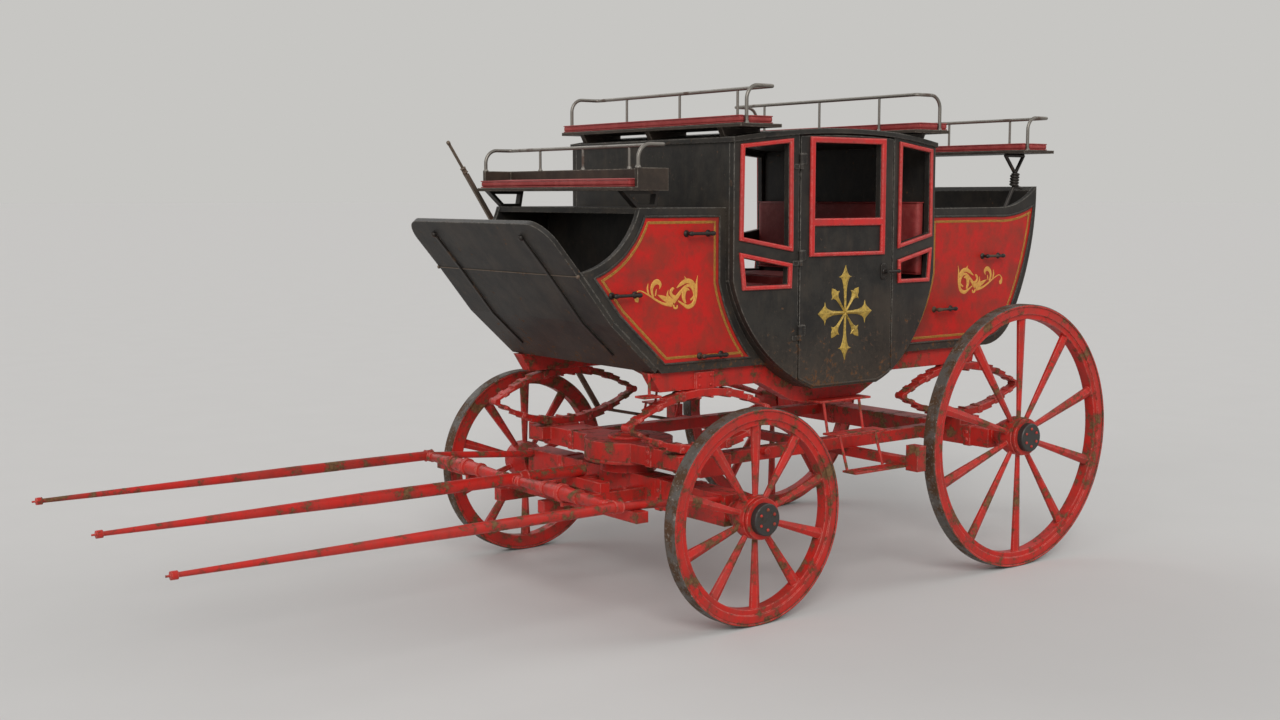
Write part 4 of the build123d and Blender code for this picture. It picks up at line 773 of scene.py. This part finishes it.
# Boss over the king pin, and round bosses on the perch beams
KING_BOSS = ((-4, 96), (7, 96), (12, 90), (14, 62), (20, 56), (22, 50), (18, 40), (18, 26), (24, 24),
             (26, 18), (26, 0))
KING_BOSS_Z = 684
PERCH_BOSS = ((-2, 20), (6, 20), (10, 18), (26, 17), (30, 13), (31, 0))
PERCH_X, PERCH_Y, PERCH_Z = -403, 480, 640


def bosses(bm):
    turned(bm, point(0, 0, KING_BOSS_Z), Z, KING_BOSS, sides=40)
    for side in OUT:
        turned(bm, point(PERCH_X, side * PERCH_Y, PERCH_Z), OUT[side], PERCH_BOSS, sides=20)


drawn("king_and_perch_bosses", bosses, RED_GEAR)

# Swingletrees: rings round each and ferrules at its ends, as (y, radius, length)
TREE_X, TREE_Z = 632.0, 557.0
TREE_RINGS = ((263, 27.2, 18), (505, 27.0, 18), (383, 33.0, 26), (60, 17.2, 28), (708, 17.0, 28))
# Eye of round iron at each swingletree's inner end
EYE_Y, EYE_R, EYE_IRON_R = 26, 0.016, 0.0042
# Sockets of the shafts and of the pole, as (radius, length)
SHAFT_X, SHAFT_Y, SHAFT_SOCKET = 622, 754, (22, 40)
POLE_X, POLE_SOCKET = 580, (27, 44)
# A ferrule's rolled edge: distance from its end, and height over the timber
ROLLED_EDGE = ((0, -1), (0, 4), (3, 6.5), (6, 4))


def ferrule(bm, middle, along, radius, length):
    """Iron ring shrunk on a round timber, with rolled edges."""
    half = length / 2
    profile = [(d - half, radius + r) for d, r in ROLLED_EDGE]
    profile += [(-d, r) for d, r in reversed(profile)]
    turned(bm, middle, along, profile, sides=24)


def draught_irons(bm):
    """Rings, eyes and sockets of the swingletrees, shafts and pole."""
    for side in OUT:
        for y, radius, length in TREE_RINGS:
            ferrule(bm, point(TREE_X, side * y, TREE_Z), OUT[1], radius, length)
        ferrule(bm, point(SHAFT_X, side * SHAFT_Y, TREE_Z), X, *SHAFT_SOCKET)
        eye = ring(point(TREE_X, side * EYE_Y, TREE_Z), X, Z, EYE_R, 20)
        tube(bm, eye, EYE_IRON_R, sides=8, closed=True)
    ferrule(bm, point(POLE_X, 0, TREE_Z), X, *POLE_SOCKET)


drawn("draught_irons", draught_irons, RED_GEAR, "forecarriage")

# Bolts through the splinter bar, and through the futchells behind it
SPLINTER_X, SPLINTER_TOP = 525, 530
FUTCHELL_Y, FUTCHELL_TOP = 175, 485
splinter_bolts = [(point(SPLINTER_X, y, SPLINTER_TOP), Z) for y in (-740, -460, -175, 175, 460, 740)]
splinter_bolts += [(point(x, y, FUTCHELL_TOP), Z) for y in (-FUTCHELL_Y, FUTCHELL_Y) for x in (150, 420)]
bolts("splinter_bolts", splinter_bolts, 11.0, RED_GEAR, "forecarriage")

# Grab handles: a bulb at each end of the grip and a rosette on the panel
GRIP_R = 0.007
BULB = ((-15, 7.2), (-12, 8.5), (-6, 10), (0, 10.6), (6, 9.8), (11, 7), (13, 0))
ROSETTE = ((-1, 15), (3, 15), (5, 12), (9, 9.5), (12, 8))


def handle_ends(bm):
    for low, high in node_boxes("grab_handles"):
        side = 1 if low.y > 0 else -1
        root, grip = (low.y, high.y - GRIP_R) if side > 0 else (high.y, low.y + GRIP_R)
        z = (low.z + high.z) / 2
        for x, way in ((low.x + GRIP_R, -X), (high.x - GRIP_R, X)):
            turned(bm, Vector((x, grip, z)), way, BULB, sides=14)
            turned(bm, Vector((x, root, z)), OUT[side], ROSETTE, sides=14)


drawn("grab_handle_ends", handle_ends, DARK_IRON, smooth=True)

# Door plates: share of the outline and height, from the door to the middle of the plate
PLATE_SECTION = ((1.0, 0.0), (1.0, 0.003), (0.9, 0.0055), (0.0, 0.0055))
PLATE_SEAT, SCREW_Z, SCREW_R = 0.005, 0.027, 4
# The door's lever turns in a collar this far in from its root's end, and has a knob at its tip.
LEVER_ROOT, LEVER_TIP, LEVER_OFF_DOOR = 0.0168, 0.004, 0.027
COLLAR = ((0, 14), (5, 14), (8, 11), (20, 9), (22, 8))
LEVER_KNOB = ((-10, 7), (-6, 9), (0, 9.5), (4, 6), (5, 0))


def door_plate(side, word):
    """Eight-cornered plate behind the door's lever, with a collar, two screws and the lever's knob."""
    low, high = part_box(f"door_handle_{word}")
    x, z = high.x - LEVER_ROOT, (low.z + high.z) / 2
    face = DOOR_FACE / 1000 * side
    seat = face + side * PLATE_SEAT
    wide, tall, cut = 0.0185, 0.038, 0.010
    corners = [(wide, tall - cut), (wide - cut, tall), (cut - wide, tall), (-wide, tall - cut)]
    corners += [(-u, -v) for u, v in corners]

    def build(bm):
        rows = []
        for u, v in corners:
            rows.append([Vector((x + u * k, face + side * h, z + v * k)) for k, h in PLATE_SECTION])
        skin(bm, rows, closed=True)
        weld(bm)
        for dz in (-SCREW_Z, SCREW_Z):
            bolt(bm, Vector((x, seat, z + dz)), OUT[side], SCREW_R, sides=10)
        turned(bm, Vector((x, seat, z)), OUT[side], COLLAR)
        knob = Vector((low.x + LEVER_TIP, face + side * LEVER_OFF_DOOR, z))
        turned(bm, knob, -X, LEVER_KNOB, sides=14)
    drawn(f"door_plate_{word}", build, DARK_IRON, f"{word}_door")


for side, word in SIDES:
    door_plate(side, word)

# Footboard: bar iron laid over each strap, as its run up the board and its section of (across, off
# the board), with a round bolt head at its top
UPPER_CREASE, STRAP_TOP = (666.0, 1462.0), (800.0, 1619.2)
STRAP_RUN = ((347.0, 1114.2), (502.0, 1257.0), UPPER_CREASE, STRAP_TOP)
STRAP_BAR = ((-9.5, -1.0), (-9.5, 6.5), (-7.0, 8.5), (7.0, 8.5), (9.5, 6.5), (9.5, -1.0))
STRAP_YS = (-352.0, 352.0)
AHEAD_OF_BOARD = Vector((0.761, 0, -0.649))
STRAP_BOLT_SEAT = 0.006
strap_heads = []
for y in STRAP_YS:
    seat = point(STRAP_TOP[0], y, STRAP_TOP[1]) + AHEAD_OF_BOARD * STRAP_BOLT_SEAT
    strap_heads.append((seat, AHEAD_OF_BOARD))
bolts("footboard_bolts", strap_heads, 13.0, DARK_IRON)


def strap_irons(bm):
    for y in STRAP_YS:
        rows = []
        for i, (x, z) in enumerate(STRAP_RUN):
            before, after = neighbours(STRAP_RUN, i)
            length = math.dist(before, after)
            out_x, out_z = (after[1] - before[1]) / length, (before[0] - after[0]) / length
            rows.append([point(x + out_x * h, y + w, z + out_z * h) for w, h in STRAP_BAR])
        made = skin(bm, rows, rings=True)
        bm.faces.new(made[0])
        bm.faces.new(made[-1])


drawn("footboard_straps", strap_irons, DARK_IRON)

# Rolled seam across the footboard's upper crease, a little ahead of it, with a stud at each end
SEAM_R, SEAM_AHEAD, SEAM_HALF = 0.0024, 0.6, 550
SEAM_STUD = ((-6, 5), (-2, 8), (3, 9), (7, 6), (9, 0))


def board_seam(bm):
    x, z = UPPER_CREASE
    run = [point(x + SEAM_AHEAD, y, z - SEAM_AHEAD) for y in range(-SEAM_HALF, SEAM_HALF + 1, 50)]
    tube(bm, run, SEAM_R, sides=8)
    for side in OUT:
        turned(bm, point(x, side * (SEAM_HALF + 1), z), OUT[side], SEAM_STUD, sides=12)


drawn("footboard_seam", board_seam, BROWN_IRON, smooth=True)

# Seat rails, with the way each one faces and its outer posts' share of its half length: a flange at
# the foot of each end, and a smaller one at each post of the back
RAIL_R = 0.008
FLANGE = ((0, 13), (3, 13), (5, 10.5), (9, 9.2), (11, 7.5))
POST_FLANGE = [(d, r * 0.8) for d, r in FLANGE]
SEAT_RAILS = (("front_roof_rail", 1, 0.63), ("rear_roof_rail", -1, 0.63), ("hind_rail", 1, 0.63),
              ("driver_rail", 1, 0.58))


def rail_irons(bm):
    for rail, way, outer_post in SEAT_RAILS:
        low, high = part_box(rail)
        foot_x, back_x = (high.x - RAIL_R, low.x + RAIL_R)[::way]
        half = high.y - RAIL_R
        for y in (-half, half):
            turned(bm, Vector((foot_x, y, low.z)), Z, FLANGE)
        for share in (-outer_post, 0.0, outer_post):
            turned(bm, Vector((back_x, share * half, low.z)), Z, POST_FLANGE, sides=14)


drawn("rail_irons", rail_irons, IRON, smooth=True)

# Hind seat brackets: wire wound round the neck of each fork, from its neck down to its waist
NECK, WAIST, BRACKET_Y = (-2035.0, 1896.0), (-2029.0, 1834.0), 538.5
COIL_R, COIL_TURNS, COIL_STEPS, COIL_WIRE_R = 18.5, 4.5, 72, 0.0058


def bracket_coils(bm):
    for side in OUT:
        run = []
        for k in range(COIL_STEPS + 1):
            t = k / COIL_STEPS
            angle = 2 * math.pi * COIL_TURNS * t
            x, z = NECK[0] + (WAIST[0] - NECK[0]) * t, NECK[1] + (WAIST[1] - NECK[1]) * t
            y = BRACKET_Y + COIL_R * math.sin(angle)
            run.append(point(x + COIL_R * math.cos(angle), side * y, z))
        tube(bm, run, COIL_WIRE_R, sides=8)


drawn("hind_bracket_coils", bracket_coils, DARK_IRON, smooth=True)

# Brake lever: a knob on its top, a sleeve at its knee, and a boss over its pivot
BRAKE_LEAN = Vector((0.65, 0, 1.0)).normalized()
BRAKE_TOP, BRAKE_KNEE, BRAKE_PIVOT = point(575, -613, 2028), point(492, -613, 1901), point(69, -621, 1250)
BRAKE_KNOB = ((-14, 7), (-10, 8.5), (-3, 9.5), (3, 8.5), (7, 5), (8, 0))
BRAKE_SLEEVE = (8.0, 30)
BRAKE_BOSS = ((0, 20), (5, 20), (8, 16), (14, 15), (17, 10), (18, 0))


def lever_ends(bm):
    turned(bm, BRAKE_TOP, BRAKE_LEAN, BRAKE_KNOB)
    ferrule(bm, BRAKE_KNEE, BRAKE_LEAN, *BRAKE_SLEEVE)
    turned(bm, BRAKE_PIVOT, OUT[-1], BRAKE_BOSS, sides=18)


drawn("brake_lever_ends", lever_ends, BROWN_IRON, smooth=True)

# Wheels: a circle of bolts on each hub cap
HUB_BOLT_CIRCLE, HUB_BOLTS = 0.042, 6
for end in ("front", "rear"):
    for side, word in SIDES:
        low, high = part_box(f"wheel_{end}_{word}_cap")
        centre = (low + high) / 2
        centre.y = high.y if side > 0 else low.y
        heads = [(spot, OUT[side]) for spot in ring(centre, Z, X, HUB_BOLT_CIRCLE, HUB_BOLTS)]
        bolts(f"hub_bolts_{end}_{word}", heads, 7.0, RED_GEAR, f"{end}_{word}_wheel")


# Cushions

# Room left inside each cushion's block for the stuffing to push its panels out
SWELL_ROOM = Vector((0.004, 0.003, 0.004))
# Piping round the rims: its radius, how it rounds the corners, and how far the upper run is sunk
PIPING_R, PIPING_CORNER, PIPING_SUNK = 0.003, 0.006, 0.0005
# Where a post draws the cover in: half the width and the slope of the hollow, and its reach inward
HOLLOW_HALF, HOLLOW_SLOPE, HOLLOW_REACH = 0.022, 0.010, 0.06
# Frames in which the cover comes to rest under pressure
LAST_FRAME = 20


def blown_cover(obj, rims, pressure=4.0):
    """Points of a cover after the stuffing's pressure, its sewn rims held still."""
    held = obj.vertex_groups.new(name="rims")
    held.add(rims, 1.0, "REPLACE")
    cloth = obj.modifiers.new("cloth", "CLOTH")
    cover = dict(vertex_group_mass="rims", use_pressure=True, uniform_pressure_force=pressure, quality=4,
                 tension_stiffness=12, compression_stiffness=12, shear_stiffness=6)
    for setting, value in cover.items():
        setattr(cloth.settings, setting, value)
    cloth.settings.effector_weights.gravity = 0.0
    cloth.point_cache.frame_start = 1
    cloth.point_cache.frame_end = LAST_FRAME
    for f in range(1, LAST_FRAME + 1):
        bpy.context.scene.frame_set(f)
    shaped = obj.evaluated_get(bpy.context.evaluated_depsgraph_get()).data
    blown = [v.co.copy() for v in shaped.vertices]
    obj.modifiers.remove(cloth)
    return blown


def cushion_mesh(name, low, high, post=None, voxel=0.007, swell=0.006):
    """Box cushion: cloth pressure crowns its panels between piped rims, and its underside stays flat.

    Where a rail's post stands at its ends, post gives the post's place along it and the reach left
    there, and the cover draws in round the post.
    """
    half = (high - low) / 2
    block = half - SWELL_ROOM

    def build(bm):
        bmesh.ops.create_cube(bm, size=2.0)
        for v in bm.verts:
            v.co = Vector((v.co[i] * block[i] for i in range(3)))
    obj = set_up(name, mesh_of(name, build))
    remesh = obj.modifiers.new("remesh", "REMESH")
    remesh.mode = "VOXEL"
    remesh.voxel_size = voxel
    bpy.context.view_layer.objects.active = obj
    with bpy.context.temp_override(object=obj, active_object=obj, selected_objects=[obj]):
        bpy.ops.object.modifier_apply(modifier="remesh")
    rest = [v.co.copy() for v in obj.data.vertices]
    near = [[block[i] - abs(c[i]) < 1.1 * voxel for i in range(3)] for c in rest]
    rims = [i for i, (x, y, z) in enumerate(near) if z and (x or y)]
    for v, a, b in zip(obj.data.vertices, rest, blown_cover(obj, rims)):
        move = b - a
        v.co = a + move * min(1.0, swell / max(move.length, 1e-9))
    for v in obj.data.vertices:
        v.co.z = max(v.co.z, -half.z)
        for i in (0, 1):
            v.co[i] = max(-half[i], min(half[i], v.co[i]))

    def piped(bm):
        bm.from_mesh(obj.data)
        x, y, cut = half.x - PIPING_R, half.y - PIPING_R, PIPING_CORNER
        quarter = [(x, y - cut), (x - cut * 0.3, y - cut * 0.3), (x - cut, y)]
        corners = quarter + [(-u, v) for u, v in reversed(quarter)]
        corners += [(-u, -v) for u, v in corners]
        for z in (PIPING_R - half.z, block.z - PIPING_SUNK):
            run = [Vector((u, v, z)) for u, v in spread(corners, 0.01)]
            tube(bm, run, PIPING_R, sides=6, closed=True)
        if post:
            inner = post[1] - HOLLOW_REACH
            drawn_in = (half.y - post[1]) / (half.y - inner)
            for v in bm.verts:
                nearness = max(0.0, min(1.0, (HOLLOW_HALF - abs(v.co.x - post[0])) / HOLLOW_SLOPE))
                past = abs(v.co.y) - inner
                if past > 0:
                    v.co.y = math.copysign(inner + past * (1 - nearness * drawn_in), v.co.y)
    mesh = mesh_of(name, piped)
    bpy.data.objects.remove(obj)
    return mesh


def cushion(name, node_name, mesh, low, high, flip=False):
    """Cushion in the space of its block, turned end for end where asked, standing for its node."""
    own = mesh.copy()
    turn = Matrix.Rotation(math.pi, 4, "Z") if flip else Matrix.Identity(4)
    own.transform(Matrix.Translation((low + high) / 2) @ turn)
    made = piece(name, own, HIDE, smooth=True)
    smoother = made.modifiers.new("smooth", "SUBSURF")
    smoother.levels = 1
    smoother.render_levels = 1
    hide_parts(node_name)


# The rail's feet pass the ends of the roof and hind cushions, with a little room inside them.
POST_ROOM = 0.019
low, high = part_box("front_roof_cushion")
rail_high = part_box("front_roof_rail")[1]
rail_post = (rail_high.x - RAIL_R - (low.x + high.x) / 2, rail_high.y - POST_ROOM)
roof_mesh = cushion_mesh("roof_pad", low, high, rail_post)
for node_name, flip in (("front_roof_cushion", False), ("rear_roof_cushion", True), ("hind_cushion", False)):
    cushion(node_name + "_hide", node_name, roof_mesh, *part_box(node_name), flip)
low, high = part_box("driver_cushion")
cushion("driver_cushion_hide", "driver_cushion", cushion_mesh("driver_pad", low, high), low, high)

# Benches inside: the two flatter blocks are seats, the two taller ones backs.
bench_boxes = sorted(node_boxes("inside_cushions"), key=lambda b: (b[1].z - b[0].z, b[0].x))
bench_meshes = {}
for i, (low, high) in enumerate(bench_boxes):
    kind = "seat" if i < 2 else "back"
    if kind not in bench_meshes:
        bench_meshes[kind] = cushion_mesh(f"bench_{kind}_pad", low, high, voxel=0.012, swell=0.018)
    cushion(f"bench_{kind}_hide_{i % 2}", "inside_cushions", bench_meshes[kind], low, high, flip=i % 2 == 1)


# Stage, light and camera

def studio_paint(node, place):
    """Matt painted studio floor, even and pale, with only a trace of unevenness."""
    grain = node("TexNoise", place, per_metre(400), 2.0)
    tone = node("Mix", grain, linear("#d3d1ce"), linear("#d0cecb"), data_type="RGBA")
    return dict(Base_Color=tone, Roughness=1.0, Specular_IOR_Level=0.0)


def build_floor(bm):
    half = 400
    for x, y in ((-half, -half), (half, -half), (half, half), (-half, half)):
        bm.verts.new((x, y, 0))
    bm.faces.new(bm.verts)


floor = set_up("studio_floor", mesh_of("studio_floor", build_floor))
dress(floor, new_finish("pale_studio_floor", studio_paint))

# The sky lights softly; seen directly, in metal or through an opening, it is the floor's own tone.
world = bpy.data.worlds.new("studio_light")
bpy.context.scene.world = world
world.use_nodes = True
world.node_tree.nodes.clear()
node = partial(add, world.node_tree)
path = node("LightPath").outputs
seen = node("Math", path["Is Camera Ray"], path["Is Glossy Ray"], operation="MAXIMUM")
seen = node("Math", seen, path["Is Transmission Ray"], operation="MAXIMUM")
soft = node("Background", linear("#f2f3f5"), 0.42)
pale = node("Background", linear("#c7c6c3"), 1.0)
chosen = node("MixShader", seen, soft, pale)
node("OutputWorld", chosen)


def look_along(obj, way):
    """Turns a light or camera to face one way, upright."""
    obj.rotation_euler = way.to_track_quat("-Z", "Y").to_euler()


def soft_sun(name, towards, strength, spread_deg):
    """Even light from one direction, as wide as a large studio screen."""
    data = bpy.data.lights.new(name, "SUN")
    data.energy = strength
    data.angle = math.radians(spread_deg)
    look_along(set_up(name, data), -Vector(towards))


soft_sun("key_screen", (0.55, 0.8, 0.66), 1.45, 28)
soft_sun("front_screen", (1.0, 0.3, 0.42), 0.5, 40)
soft_sun("rear_screen", (-0.9, 0.35, 0.8), 0.5, 40)
soft_sun("right_screen", (0.1, -1.0, 0.7), 0.55, 40)

# The photo's camera: focal length and picture width in pixels, place from the front axle in metres,
# and the direction from the coach back to it
FOCAL_PX, PICTURE_PX, SENSOR_MM = 1507.5, 1280, 36.0
CAMERA_X, CAMERA_Y, CAMERA_Z = 4.114, 5.486, 1.781
AZIMUTH, ELEVATION = math.radians(52.69), math.radians(6.19)
camera_data = bpy.data.cameras.new("photo_view")
camera_data.sensor_width = SENSOR_MM
camera_data.lens = FOCAL_PX / PICTURE_PX * SENSOR_MM
camera = set_up("photo_view", camera_data)
camera.location = Vector((CAMERA_X + FRONT_AXLE, CAMERA_Y, CAMERA_Z))
level = math.cos(ELEVATION)
back = Vector((math.cos(AZIMUTH) * level, math.sin(AZIMUTH) * level, math.sin(ELEVATION)))
look_along(camera, -back)
bpy.context.scene.camera = camera
bpy.context.scene.view_settings.view_transform = "Standard"
